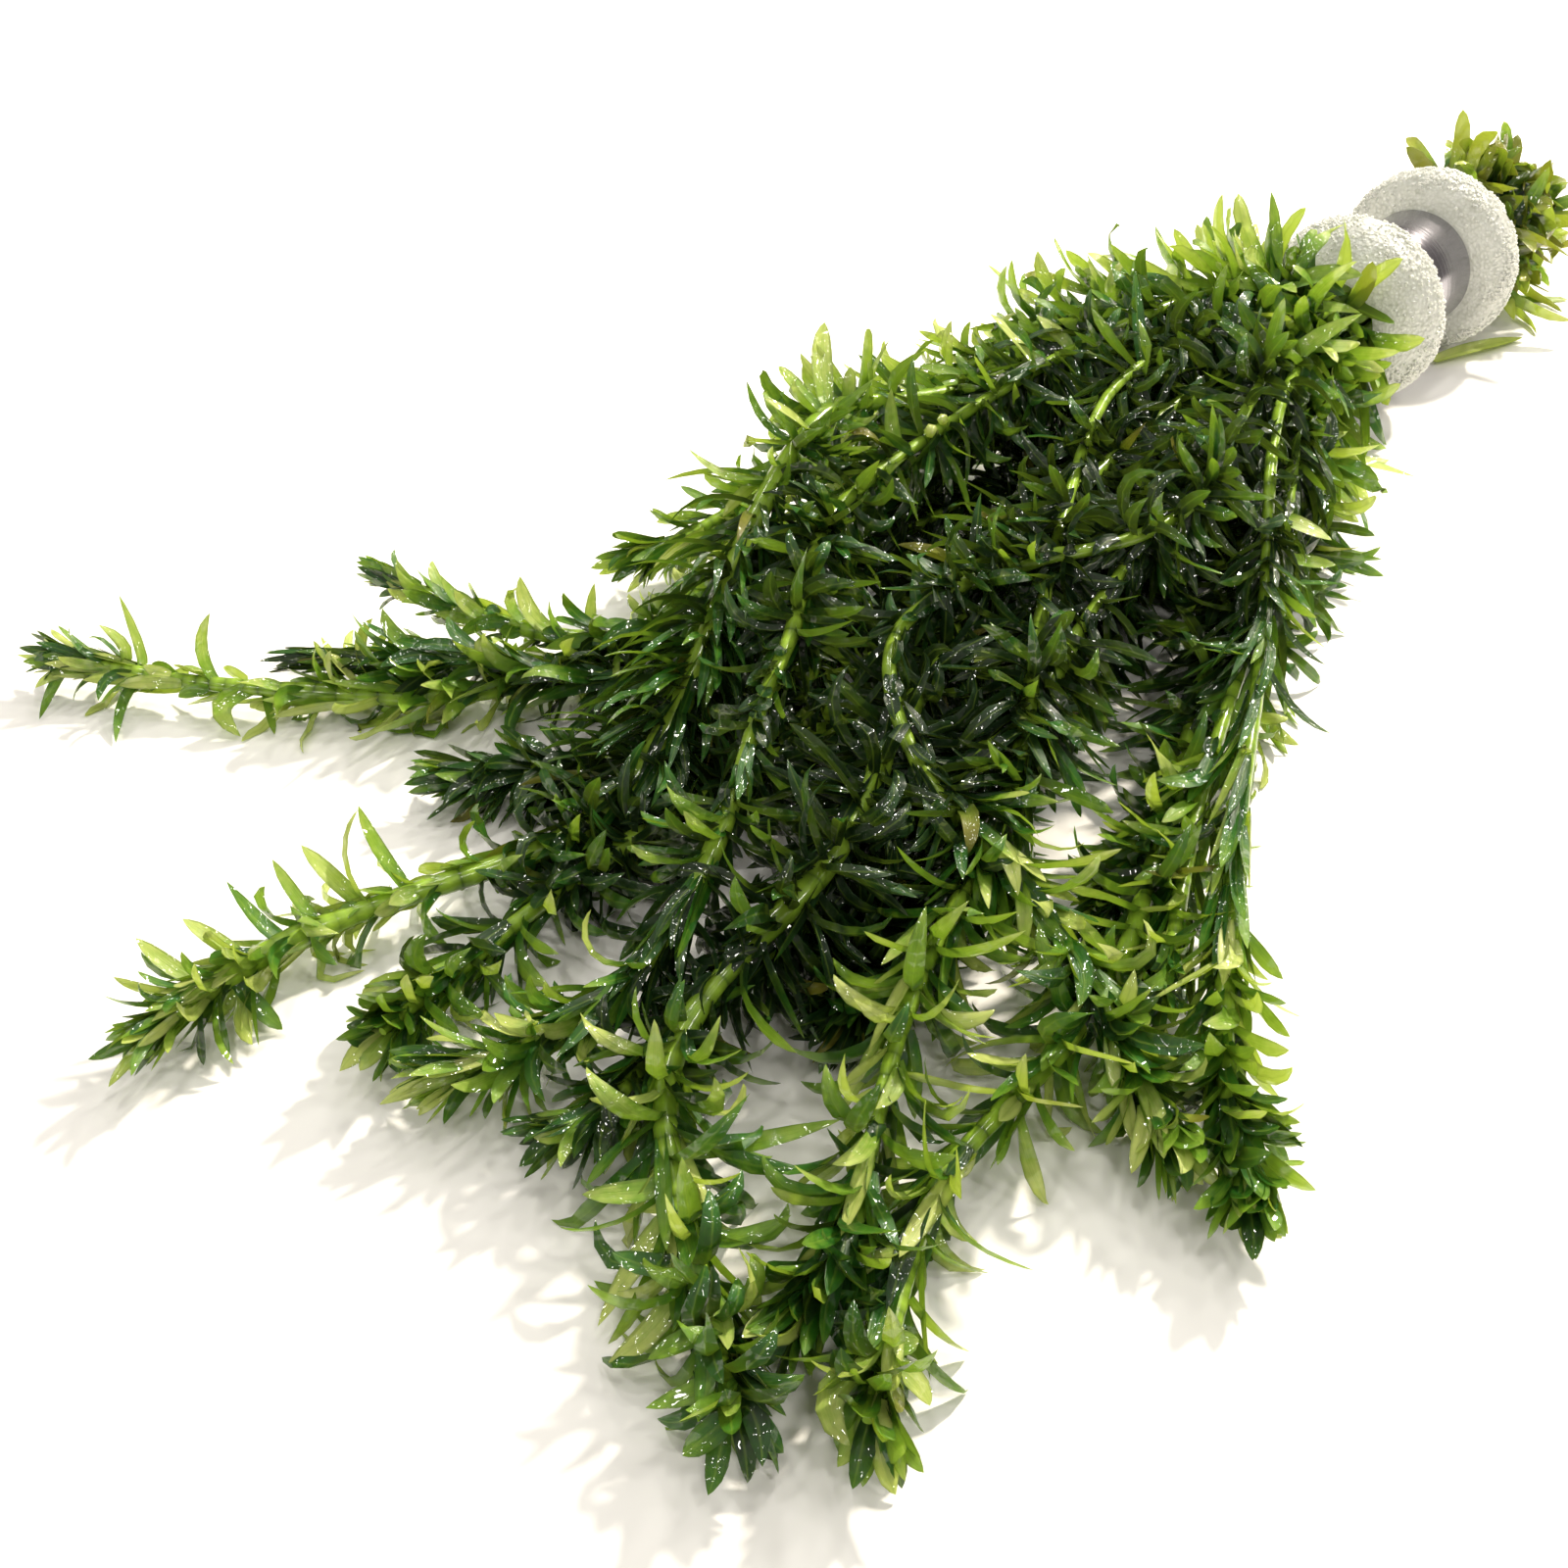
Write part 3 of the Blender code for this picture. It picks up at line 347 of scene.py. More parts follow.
# Where the main light and the small soft lights hang, and how wide they are, in the frame's metres
KEY_SIZE = 0.07
BOX_SIZE = 0.1
KEY_PLACE = (-0.66, 0.02, 0.62)
SOFT_BOXES = [(-0.5, -0.55, 0.6), (-0.25, 0.65, 0.65), (0.1, -0.1, 0.95), (-0.85, -0.2, 0.3),
              (-0.3, -0.1, 0.9), (0.5, -0.5, 0.65), (0.45, 0.5, 0.75), (-0.55, 0.35, 0.75),
              (-0.05, -0.5, 0.85), (0.05, 0.4, 0.9), (0.75, 0.0, 0.6)]

# The leaf that fell beside the sleeve: its middle line on the surface
LOOSE_LEAF = [(-17.0, 8.6), (-23.0, 11.2), (-30.0, 14.2), (-37.5, 17.0)]
FLOOR_REACH = 4000.0
FLOOR_HEIGHT = -0.02


class WaterweedPlantSettings(bpy.types.PropertyGroup):
    leaf_length: bpy.props.FloatProperty(
        name="Leaf length", description="Length of a full-grown leaf in front, in millimetres",
        default=11.0, min=4.0)
    leaf_width: bpy.props.FloatProperty(
        name="Leaf width", description="Width of the oldest leaves, near the sleeve, in millimetres",
        default=2.8, min=1.0)
    leaf_thickness: bpy.props.FloatProperty(
        name="Leaf thickness", description="Thickness at the midrib, in millimetres", default=0.24, min=0.05)
    leaf_fold: bpy.props.FloatProperty(
        name="Leaf fold", description="Rise of the margins over the midrib, as a share of half the width",
        default=0.28, min=0.0, max=1.0, subtype="FACTOR")
    # The dark leaf colour also stands for the painted shade in the heart of the fan, in its hollow and at the
    # growing tips
    dark_leaf: bpy.props.StringProperty(
        name="Dark leaf", description="Colour of the oldest leaves, sRGB hex", default="#1E3C1C")
    mid_leaf: bpy.props.StringProperty(
        name="Mid leaf", description="Colour of most leaves, sRGB hex", default="#2E7620")
    light_leaf: bpy.props.StringProperty(
        name="Light leaf", description="Colour of the thinnest leaves, sRGB hex", default="#DEE68C")
    stem_colour: bpy.props.StringProperty(
        name="Stem", description="Colour of the bare stem between whorls, sRGB hex", default="#A6CE44")


class WaterweedSleeveSettings(bpy.types.PropertyGroup):
    grain_height: bpy.props.FloatProperty(
        name="Grain height", description="Height of the foam's torn cells, in millimetres",
        default=0.34, min=0.0)
    grain_size: bpy.props.FloatProperty(
        name="Grain size", description="Size of the foam's torn cells, in millimetres", default=0.72, min=0.4)
    foam_colour: bpy.props.StringProperty(
        name="Foam", description="Colour of the wet foam, sRGB hex", default="#ECEEEB")
    # Painted shade in the foam's pores
    pore_shade_colour: bpy.props.StringProperty(
        name="Pores", description="Colour in the foam's pores, sRGB hex", default="#CDD0C8")
    band_colour: bpy.props.StringProperty(
        name="Band", description="Colour of the metal band, sRGB hex", default="#9A98A0")
    band_roughness: bpy.props.FloatProperty(
        name="Band roughness", description="Roughness of the metal band", default=0.2, min=0.0, max=1.0)


class WaterweedStageSettings(bpy.types.PropertyGroup):
    floor_colour: bpy.props.StringProperty(
        name="Floor", description="Colour of the floor, sRGB hex", default="#F6F5F2")
    key_power: bpy.props.FloatProperty(
        name="Key light", description="Power of the main light, in watts", default=14.4, min=0.0)
    box_power: bpy.props.FloatProperty(
        name="Soft boxes", description="Power of each small soft light, in watts", default=0.95, min=0.0)
    sky_strength: bpy.props.FloatProperty(
        name="Fill light", description="Strength of the even light from all sides", default=0.27, min=0.0)


def linear(hex_colour):
    """An sRGB hex colour as the linear red, green, blue and alpha that Blender's sockets take."""
    values = [int(hex_colour[place:place + 2], 16) / 255 for place in (1, 3, 5)]
    return [v / 12.92 if v <= 0.04045 else ((v + 0.055) / 1.055) ** 2.4 for v in values] + [1.0]


def add_node(material, kind, inputs=None, **settings):
    """Add a shader node with its settings; inputs gives values or other nodes' outputs by socket."""
    made = material.node_tree.nodes.new(kind)
    for key, value in settings.items():
        setattr(made, key, value)
    for key, value in (inputs or {}).items():
        if isinstance(value, bpy.types.NodeSocket):
            material.node_tree.links.new(value, made.inputs[key])
        else:
            made.inputs[key].default_value = value
    return made


def new_material(name):
    """A material of this name with no nodes yet."""
    material = bpy.data.materials.new(name)
    material.use_nodes = True
    material.node_tree.nodes.clear()
    return material


def ramp_of(material, factor, stops, colours):
    """A colour ramp with these stops."""
    ramp = add_node(material, "ShaderNodeValToRGB", {"Fac": factor})
    elements = ramp.color_ramp.elements
    while len(elements) < len(stops):
        elements.new(0.5)
    for element, stop, colour in zip(elements, stops, colours):
        element.position = stop
        element.color = colour
    return ramp.outputs["Color"]


def let_through(material, skin, colour, share):
    """End a material: this share of the light comes through it in this colour, the rest meets its skin."""
    glow = add_node(material, "ShaderNodeBsdfTranslucent", {"Color": colour})
    mixed = add_node(material, "ShaderNodeMixShader", {0: share, 1: skin.outputs[0], 2: glow.outputs[0]})
    add_node(material, "ShaderNodeOutputMaterial", {"Surface": mixed.outputs[0]})
    return material


def leaf_material(plant):
    """Wet living leaf, two cells thick: a waxy skin that glints, and light comes through it."""
    material = new_material("wet_waterweed_leaf")
    tone = add_node(material, "ShaderNodeAttribute", attribute_name="tone").outputs["Fac"]
    place = add_node(material, "ShaderNodeTexCoord").outputs["Object"]
    # Patches of paler cells, about 1.2 mm apart
    mottle = add_node(material, "ShaderNodeTexNoise", {"Vector": place, "Scale": 1 / 0.0012, "Detail": 3.0})
    leaf_place = add_node(material, "ShaderNodeUVMap", uv_map="leaf_map").outputs[0]
    # Rows of cells run along the leaf, about 0.2 mm apart, so 13 across it: coarser than real ones
    stretched = add_node(material, "ShaderNodeMapping", {"Vector": leaf_place, "Scale": (13.0, 1.3, 1.0)})
    rows = add_node(material, "ShaderNodeTexNoise", {
        "Vector": stretched.outputs[0], "Scale": 1.0, "Detail": 2.0})
    both = add_node(material, "ShaderNodeMath", {
        0: mottle.outputs["Fac"], 1: rows.outputs["Fac"]}, operation="ADD")
    shift = add_node(material, "ShaderNodeMapRange", {
        "Value": both.outputs[0], "From Min": 0.6, "From Max": 1.4, "To Min": -0.12, "To Max": 0.12})
    toned = add_node(material, "ShaderNodeMath", {0: tone, 1: shift.outputs["Result"]}, operation="ADD")
    # From the darkest leaves, old ones and those in painted shade, to the thinnest, palest ones
    colours = [linear(c) for c in (plant.dark_leaf, "#1F4A1E", plant.mid_leaf, "#8EB63C", plant.light_leaf)]
    colour = ramp_of(material, toned.outputs[0], (0.05, 0.25, 0.5, 0.72, 0.95), colours)
    # The midrib is a thin paler line down the leaf, from the leaf's own map: u runs across it
    across = add_node(material, "ShaderNodeSeparateXYZ", {0: leaf_place}).outputs["X"]
    off_middle = add_node(material, "ShaderNodeMath", {0: across, 1: 0.5}, operation="SUBTRACT")
    distance = add_node(material, "ShaderNodeMath", {0: off_middle.outputs[0]}, operation="ABSOLUTE")
    rib = add_node(material, "ShaderNodeMapRange", {
        "Value": distance.outputs[0], "From Min": 0.02, "From Max": 0.09, "To Min": 0.35, "To Max": 0.0})
    ribbed = add_node(material, "ShaderNodeMix", {
        "Factor": rib.outputs["Result"], "A": colour, "B": linear("#9DBE4A")}, data_type="RGBA")
    edge = add_node(material, "ShaderNodeMapRange", {
        "Value": distance.outputs[0], "From Min": 0.36, "From Max": 0.5, "To Min": 0.0, "To Max": 0.6})
    edged = add_node(material, "ShaderNodeMix", {
        "Factor": edge.outputs["Result"], "A": ribbed.outputs["Result"], "B": linear("#24521A")},
        data_type="RGBA")
    # Dying leaves turn yellow and then brown; on a leaf the knot attribute says how far it has gone
    wilt = add_node(material, "ShaderNodeAttribute", attribute_name="knot").outputs["Fac"]
    faded = ramp_of(material, wilt, (0.3, 1.0), (linear("#A8A53E"), linear("#5A4420")))
    share = add_node(material, "ShaderNodeMapRange", {"Value": wilt, "From Max": 0.5, "To Max": 0.9})
    wilted = add_node(material, "ShaderNodeMix", {
        "Factor": share.outputs["Result"], "A": edged.outputs["Result"], "B": faded}, data_type="RGBA")
    skin_colour = wilted.outputs["Result"]
    # The film of water is uneven over about 2 mm, which breaks the shine into glints
    film = add_node(material, "ShaderNodeTexNoise", {"Vector": place, "Scale": 1 / 0.0020, "Detail": 0.0})
    ripple = add_node(material, "ShaderNodeBump", {
        "Height": film.outputs["Fac"], "Strength": 1.0, "Distance": 0.0014})
    ribs = add_node(material, "ShaderNodeBump", {
        "Height": rows.outputs["Fac"], "Strength": 0.5, "Distance": 0.0002})
    skin = add_node(material, "ShaderNodeBsdfPrincipled", {
        "Base Color": skin_colour, "Roughness": 0.36, "IOR": 1.42, "Coat Weight": 1.0,
        "Coat Roughness": 0.06, "Coat IOR": 1.9, "Normal": ribs.outputs["Normal"],
        "Coat Normal": ripple.outputs["Normal"]})
    # Dark leaves, old ones and those in painted shade, let little light through, and young pale ones much
    clear = add_node(material, "ShaderNodeMapRange", {"Value": tone, "To Min": 0.24, "To Max": 0.88})
    through = add_node(material, "ShaderNodeMix", {
        "Factor": clear.outputs["Result"], "A": skin_colour, "B": linear("#DAE984")}, data_type="RGBA")
    return let_through(material, skin, through.outputs["Result"], 0.52)


def stem_material(plant):
    """Wet living stem: smooth, juicy and pale, with a darker ring where each whorl grew."""
    material = new_material("wet_waterweed_stem")
    # Its pale cells run together over about 1.4 mm
    place = add_node(material, "ShaderNodeTexCoord").outputs["Object"]
    knot = add_node(material, "ShaderNodeAttribute", attribute_name="knot").outputs["Fac"]
    tone = add_node(material, "ShaderNodeAttribute", attribute_name="tone").outputs["Fac"]
    # The tone holds painted shade where other stems crowd round a stem
    colours = [linear(c) for c in ("#3F6A18", "#86B232", plant.stem_colour)]
    base = ramp_of(material, tone, (0.1, 0.5, 0.8), colours)
    streak = add_node(material, "ShaderNodeTexNoise", {"Vector": place, "Scale": 1 / 0.0014, "Detail": 2.0})
    mixed = add_node(material, "ShaderNodeMix", {
        "Factor": streak.outputs["Fac"], "A": base, "B": linear("#AACC40")}, data_type="RGBA")
    ringed = add_node(material, "ShaderNodeMix", {
        "Factor": knot, "A": mixed.outputs["Result"], "B": linear("#3C5A18")}, data_type="RGBA")
    bump = add_node(material, "ShaderNodeBump", {
        "Height": streak.outputs["Fac"], "Strength": 0.3, "Distance": 0.0004})
    skin = add_node(material, "ShaderNodeBsdfPrincipled", {
        "Base Color": ringed.outputs["Result"], "Roughness": 0.3, "IOR": 1.42, "Coat Weight": 1.0,
        "Coat Roughness": 0.1, "Coat IOR": 1.45, "Normal": bump.outputs["Normal"]})
    return let_through(material, skin, ringed.outputs["Result"], 0.3)


def foam_material(sleeve):
    """Wet open-cell foam, cut from a sheet: pale and glassy, with water that glints in its pores and painted
    shade in them.
    """
    material = new_material("wet_open_cell_foam")
    place = add_node(material, "ShaderNodeTexCoord").outputs["Object"]
    # Pores are about 0.5 mm across, drawn a little coarser than real ones so that they show
    cells = add_node(material, "ShaderNodeTexVoronoi", {"Vector": place, "Scale": 1 / 0.0006})
    patches = add_node(material, "ShaderNodeTexNoise", {"Vector": place, "Scale": 1 / 0.004, "Detail": 2.0})
    # Painted shade: the foam darkens towards its pores, and more in some patches, to the pore colour
    depth = add_node(material, "ShaderNodeMath", {0: cells.outputs["Distance"], 1: patches.outputs["Fac"]},
                     operation="MULTIPLY")
    colours = [linear(c) for c in (sleeve.foam_colour, sleeve.pore_shade_colour)]
    dry = ramp_of(material, depth.outputs[0], (0.1, 0.55), colours)
    # Beads of water on the torn cells are paler
    wet = add_node(material, "ShaderNodeAttribute", attribute_name="wet").outputs["Fac"]
    beaded = add_node(material, "ShaderNodeMix", {
        "Factor": wet, "A": dry, "B": linear("#F7F8F4")}, data_type="RGBA")
    colour = beaded.outputs["Result"]
    bump = add_node(material, "ShaderNodeBump", {
        "Height": cells.outputs["Distance"], "Strength": 0.7, "Distance": 0.0003})
    skin = add_node(material, "ShaderNodeBsdfPrincipled", {
        "Base Color": colour, "Roughness": 0.4, "IOR": 1.4, "Coat Weight": 1.0, "Coat Roughness": 0.05,
        "Coat IOR": 2.0, "Normal": bump.outputs["Normal"], "Coat Normal": bump.outputs["Normal"]})
    return let_through(material, skin, colour, 0.42)


def band_material(sleeve):
    """Rolled aluminium strip: a soft mirror with faint lines from rolling, along the strip."""
    material = new_material("rolled_aluminium")
    place = add_node(material, "ShaderNodeTexCoord").outputs["Object"]
    # Rolling lines are about 0.5 mm apart across the strip and run round it: coarser than real ones
    stretched = add_node(material, "ShaderNodeMapping", {
        "Vector": place, "Scale": (1 / 0.0005, 1 / 0.02, 1 / 0.02)})
    lines = add_node(material, "ShaderNodeTexNoise", {
        "Vector": stretched.outputs[0], "Scale": 1.0, "Detail": 3.0})
    bump = add_node(material, "ShaderNodeBump", {
        "Height": lines.outputs["Fac"], "Strength": 0.15, "Distance": 0.0003})
    skin = add_node(material, "ShaderNodeBsdfPrincipled", {
        "Base Color": linear(sleeve.band_colour), "Metallic": 1.0, "Roughness": sleeve.band_roughness,
        "Normal": bump.outputs["Normal"]})
    add_node(material, "ShaderNodeOutputMaterial", {"Surface": skin.outputs[0]})
    return material


def to_frame(places):
    """From the bunch's own millimetres to the frame's metres."""
    return (np.asarray(places) - ORIGIN) * MM


def mesh_object(name, places, quads, triangles, surfaces, attributes=None, maps=None, faces_surface=None):
    """Put arrays into a mesh: places in bunch millimetres, then quads, then triangles, as indices."""
    mesh = bpy.data.meshes.new(name)
    quads = np.asarray(quads, np.int32).reshape(-1, 4)
    triangles = np.asarray(triangles, np.int32).reshape(-1, 3)
    loops = np.concatenate([quads.ravel(), triangles.ravel()])
    sizes = np.concatenate([np.full(len(quads), 4), np.full(len(triangles), 3)])
    mesh.vertices.add(len(places))
    mesh.vertices.foreach_set("co", to_frame(places).astype(np.float32).ravel())
    mesh.loops.add(len(loops))
    mesh.loops.foreach_set("vertex_index", loops)
    mesh.polygons.add(len(sizes))
    starts = np.concatenate([[0], np.cumsum(sizes)[:-1]])
    mesh.polygons.foreach_set("loop_start", starts.astype(np.int32))
    mesh.update(calc_edges=True)
    for key, values in (attributes or {}).items():
        made = mesh.attributes.new(key, "FLOAT", "POINT")
        made.data.foreach_set("value", np.asarray(values, np.float32))
    for key, values in (maps or {}).items():
        layer = mesh.uv_layers.new(name=key)
        layer.data.foreach_set("uv", np.asarray(values, np.float32)[loops].ravel())
    for surface in surfaces:
        mesh.materials.append(surface)
    if faces_surface is not None:
        mesh.polygons.foreach_set("material_index", np.asarray(faces_surface, np.int32))
    mesh.shade_smooth()
    mesh.set_sharp_from_angle(angle=SHARP_ANGLE)
    mesh.validate()
    piece = bpy.data.objects.new(name, mesh)
    bpy.context.scene.collection.objects.link(piece)
    return piece


def smooth_route(points, step):
    """A Catmull-Rom curve through the points, as points about step apart."""
    points = np.asarray(points, float)
    ends = np.vstack([2 * points[0] - points[1], points, 2 * points[-1] - points[-2]])
    pieces = []
    for before, start, end, after in zip(ends, ends[1:], ends[2:], ends[3:]):
        count = max(int(np.ceil(np.linalg.norm(end - start) / step)), 1)
        t = (np.arange(count) / count)[:, None]
        pieces.append(0.5 * (2 * start + (end - before) * t
                             + (2 * before - 5 * start + 4 * end - after) * t ** 2
                             + (3 * start - before - 3 * end + after) * t ** 3))
    pieces.append(points[-1:])
    return np.vstack(pieces)


def raw_routes():
    """Each stem's route: from its cut end through its slot in the sleeve, and on through its points."""
    routes = []
    for (ring, angle), tail, _, _, points in STEMS.values():
        across = SLOT_RADII[ring] * math.cos(math.radians(angle))
        up = SLOT_RADII[ring] * math.sin(math.radians(angle))
        sideways, upwards, rise = TAIL_SPREAD
        inside = [(x, across, AXIS_HEIGHT + up) for x in SLEEVE_MARKS]
        cut = (SLEEVE_MARKS[0] - tail, sideways * across, AXIS_HEIGHT + upwards * up + rise * tail)
        routes.append(smooth_route([cut] + inside + list(points), ROUTE_STEP))
    return routes


def spread_routes(routes):
    """Nudge the stems apart wherever two run too close, and keep them off the surface."""
    places = np.vstack(routes)
    ends = np.cumsum([len(route) for route in routes])
    owner = np.searchsorted(ends, np.arange(len(places)), side="right")
    inner = np.ones(len(places), bool)
    inner[ends - 1] = False
    inner[np.append(0, ends[:-1])] = False
    loose = (places[:, 0] > FOAM_FRONT + 1.5) | (places[:, 0] < FOAM_BACK - 3.5)
    open_share = fade(places[:, 0], FOAM_FRONT + 1, FOAM_FRONT + 1 + FAN_OPENS_OVER)
    spacing = SLEEVE_SPACING + (FAN_SPACING - SLEEVE_SPACING) * open_share
    start = places.copy()
    for _ in range(NUDGE_ROUNDS):
        tree = kdtree.KDTree(len(places))
        for n, place in enumerate(places):
            tree.insert(place, n)
        tree.balance()
        push = np.zeros_like(places)
        for n in np.flatnonzero(loose):
            for _, other, distance in tree.find_range(places[n], spacing[n]):
                if owner[other] != owner[n]:
                    away = places[n] - places[other]
                    share = (spacing[n] - distance) / max(distance, 0.05)
                    push[n] += NUDGE * share * away
        size = np.linalg.norm(push, axis=1, keepdims=True)
        places += push * np.minimum(1.0, LONGEST_NUDGE / np.maximum(size, 1e-9))
        middle = (np.roll(places, 1, axis=0) + np.roll(places, -1, axis=0)) / 2
        bend = loose & inner
        places[bend] += SMOOTHING * (middle[bend] - places[bend])
        places[loose] += HOMING * (start[loose] - places[loose])
        places[:, 2] = np.maximum(places[:, 2], STEM_RADIUS + STEM_LIFT)
    return [places[owner == n] for n in range(len(routes))]


def unit(vectors):
    """Vectors of length 1 in the same directions."""
    return vectors / np.maximum(np.linalg.norm(vectors, axis=-1, keepdims=True), 1e-9)


def fade(values, none, full):
    """0 where the values are at none or past it, 1 where they are at full or past it, even between."""
    return np.clip((values - none) / (full - none), 0, 1)


def bell(values, width):
    """e^-(value / width)^2: 1 at 0, fading to 0."""
    return np.exp(-(values / width) ** 2)


class Course:
    """A stem's curve, read by the distance along it: place, direction and a steady side vector."""

    def __init__(self, points):
        self.points = points
        steps = np.linalg.norm(np.diff(points, axis=0), axis=1)
        self.along = np.concatenate([[0], np.cumsum(steps)])
        self.length = self.along[-1]
        self.ahead = unit(np.gradient(points, self.along, axis=0))
        side = np.cross(self.ahead[0], UP)
        sides = []
        for direction in self.ahead:
            side = unit(side - np.dot(side, direction) * direction)
            sides.append(side)
        self.sides = np.array(sides)

    def read(self, table, distances):
        """Three columns of a table that has a row for each point, read at these distances."""
        return np.stack([np.interp(distances, self.along, table[:, n]) for n in range(3)], axis=-1)

    def at(self, distances):
        """Places, directions ahead, side vectors and rise vectors at these distances."""
        ahead = unit(self.read(self.ahead, distances))
        side = self.read(self.sides, distances)
        side = unit(side - np.sum(side * ahead, axis=-1, keepdims=True) * ahead)
        return self.read(self.points, distances), ahead, side, np.cross(side, ahead)


def whorl_plan(length, seed):
    """Every whorl of a stem, from the tip down: its distance from the tip, its turn, and four values
    from -1 to 1 for each of its leaves. Whorls are 0.9 mm apart at the tip and 4.2 mm far from it."""
    draw = np.random.RandomState(seed)
    rows = []
    distance = 1.2
    while distance < length - 2.0:
        # The second number of this pair is spare
        jitter, _ = draw.uniform(-0.12, 0.12, 2)
        turn = math.radians(45.0 * (len(rows) % 2) + 3.0 * len(rows)) + jitter
        rows.append((distance, turn, draw.uniform(-1.0, 1.0, (LEAVES_PER_WHORL, 4))))
        distance += 0.9 + 3.3 * (1 - math.exp(-distance / 42.0)) + draw.uniform(-0.3, 0.3)
    return [np.array(column) for column in zip(*rows)]


def leaf_lines(foot, ahead, out, length, first, last, sweep, pull):
    """Middle lines of many leaves: each heads away from its stem at an angle that goes from first
    to last as t^1.2, turns sideways by sweep, is drawn along by pull, and runs level where it
    meets the surface."""
    across = np.cross(ahead, out)
    places = [foot]
    for start, end in zip(LEAF_ROWS, LEAF_ROWS[1:]):
        share = (start + end) / 2
        angle = (first + (last - first) * share ** 1.2)[:, None]
        turn = (sweep * share)[:, None]
        away = np.cos(turn) * out + np.sin(turn) * across
        heading = unit(np.cos(angle) * ahead + np.sin(angle) * away + share * pull)
        stride = (length * (end - start))[:, None]
        after = places[-1] + stride * heading
        drop = np.clip((SURFACE_CLEAR - places[-1][:, 2:]) / stride, -1.0, 1.0)
        flat = unit(heading * (1.0, 1.0, 0.0))
        level = places[-1] + stride * (flat * np.sqrt(1 - drop ** 2) + drop * UP)
        after = np.where(after[:, 2:] < SURFACE_CLEAR, level, after)
        after[:, 2] = np.minimum(after[:, 2], HIGHEST)
        places.append(after)
    return np.stack(places, axis=1)


def row_shares(rows):
    """How far along its leaf each row is, as a share: the usual rows, or even ones for another number."""
    return LEAF_ROWS if rows == len(LEAF_ROWS) else np.linspace(0, 1, rows)


def vertex_shares(rows):
    """The same for each vertex of a blade: four in a row, and one at the tip."""
    return np.append(np.repeat(row_shares(rows)[:-1], 4), 1.0)


def leaf_shells(lines, sides, widths, twists, plant, power=5.5):
    """Closed blades round many middle lines at once, as (leaf, vertex) places, with a direction
    across each blade.

    Half the width is W/2 (1 - t^power) (0.62 + 0.38 (1 - (1 - min(t / 0.5, 1))^2)), t from foot to
    tip, so a high power gives a blunt tip. The thickness falls as 1 - 0.6 t and the fold as
    2.2 - 1.6 t. Each row has a left margin, the upper middle, a right margin and the lower middle;
    the margins stand up from the midrib by the fold. The blade turns about its line by the twist
    times t.
    """
    count, rows = lines.shape[:2]
    t = row_shares(rows)
    heading = unit(np.gradient(lines, axis=1))
    side = np.broadcast_to(sides[:, None, :], lines.shape)
    side = unit(side - np.sum(side * heading, axis=-1, keepdims=True) * heading)
    over = np.cross(side, heading)
    turn = (twists[:, None] * t)[:, :, None]
    side, over = np.cos(turn) * side + np.sin(turn) * over, np.cos(turn) * over - np.sin(turn) * side
    profile = (1 - t ** np.reshape(power, (-1, 1))) * (0.62 + 0.38 * (1 - (1 - np.minimum(t / 0.5, 1)) ** 2))
    half = (widths[:, None] / 2 * profile)[:, :, None]
    thick = plant.leaf_thickness / 2 * (1 - 0.6 * t)[None, :, None]
    rise = plant.leaf_fold * (2.2 - 1.6 * t)[None, :, None] * half * over
    left = lines - half * side + rise
    right = lines + half * side + rise
    shells = np.stack([left, lines + thick * over, right, lines - thick * over], axis=2)
    shells[..., 2] = np.maximum(shells[..., 2], BLADE_FLOOR)
    shells = shells[:, :-1].reshape(count, -1, 3)
    return np.concatenate([shells, lines[:, -1:]], axis=1)


def leaf_faces(count, rows):
    """Quads and triangles of closed blades with this many rows, for count leaves in a row."""
    rings = rows - 1
    size = rings * 4 + 1
    quads = [(4 * k + i, 4 * k + (i + 1) % 4, 4 * (k + 1) + (i + 1) % 4, 4 * (k + 1) + i)
             for k in range(rings - 1) for i in range(4)] + [(3, 2, 1, 0)]
    last = 4 * (rings - 1)
    triangles = [(last + i, last + (i + 1) % 4, size - 1) for i in range(4)]
    start = (np.arange(count) * size)[:, None, None]
    return ((start + np.array(quads)[None]).reshape(-1, 4),
            (start + np.array(triangles)[None]).reshape(-1, 3))


def leaf_map(count, rows):
    """The leaf's own map, for count leaves: u runs across from margin to margin, v from foot to tip."""
    u = np.append(np.tile([0.0, 0.5, 1.0, 0.5], rows - 1), 0.5)
    return np.tile(np.stack([u, vertex_shares(rows)], axis=1), (count, 1))


def tube(course, distances, radii):
    """A closed tube: circles of these radii, square to the course at these distances, and its ends."""
    place, _, side, rise = course.at(distances)
    turn = np.linspace(0, 2 * np.pi, ROD_SIDES, endpoint=False)[None, :, None]
    rings = place[:, None] + radii[:, None, None] * (np.cos(turn) * side[:, None]
                                                     + np.sin(turn) * rise[:, None])
    count = len(distances)
    k, i = np.meshgrid(np.arange(count - 1), np.arange(ROD_SIDES), indexing="ij")
    j = (i + 1) % ROD_SIDES
    quads = np.stack([k * ROD_SIDES + i, (k + 1) * ROD_SIDES + i, (k + 1) * ROD_SIDES + j,
                      k * ROD_SIDES + j], axis=-1)
    one = np.arange(ROD_SIDES)
    two = (one + 1) % ROD_SIDES
    last, middle = (count - 1) * ROD_SIDES, count * ROD_SIDES
    caps = np.concatenate([np.stack([one, two, np.full(ROD_SIDES, middle)], axis=1),
                           np.stack([two + last, one + last, np.full(ROD_SIDES, middle + 1)], axis=1)])
    places = np.vstack([rings.reshape(-1, 3), place[:1], place[-1:]])
    return places, quads.reshape(-1, 4), caps


def foam_reach(x):
    """The sleeve's outer radius at places along its axis."""
    shape = np.array(FOAM_SHAPE[:FOAM_OUTSIDE])[::-1]
    return np.interp(x, shape[:, 0], shape[:, 1], left=0.0, right=0.0)


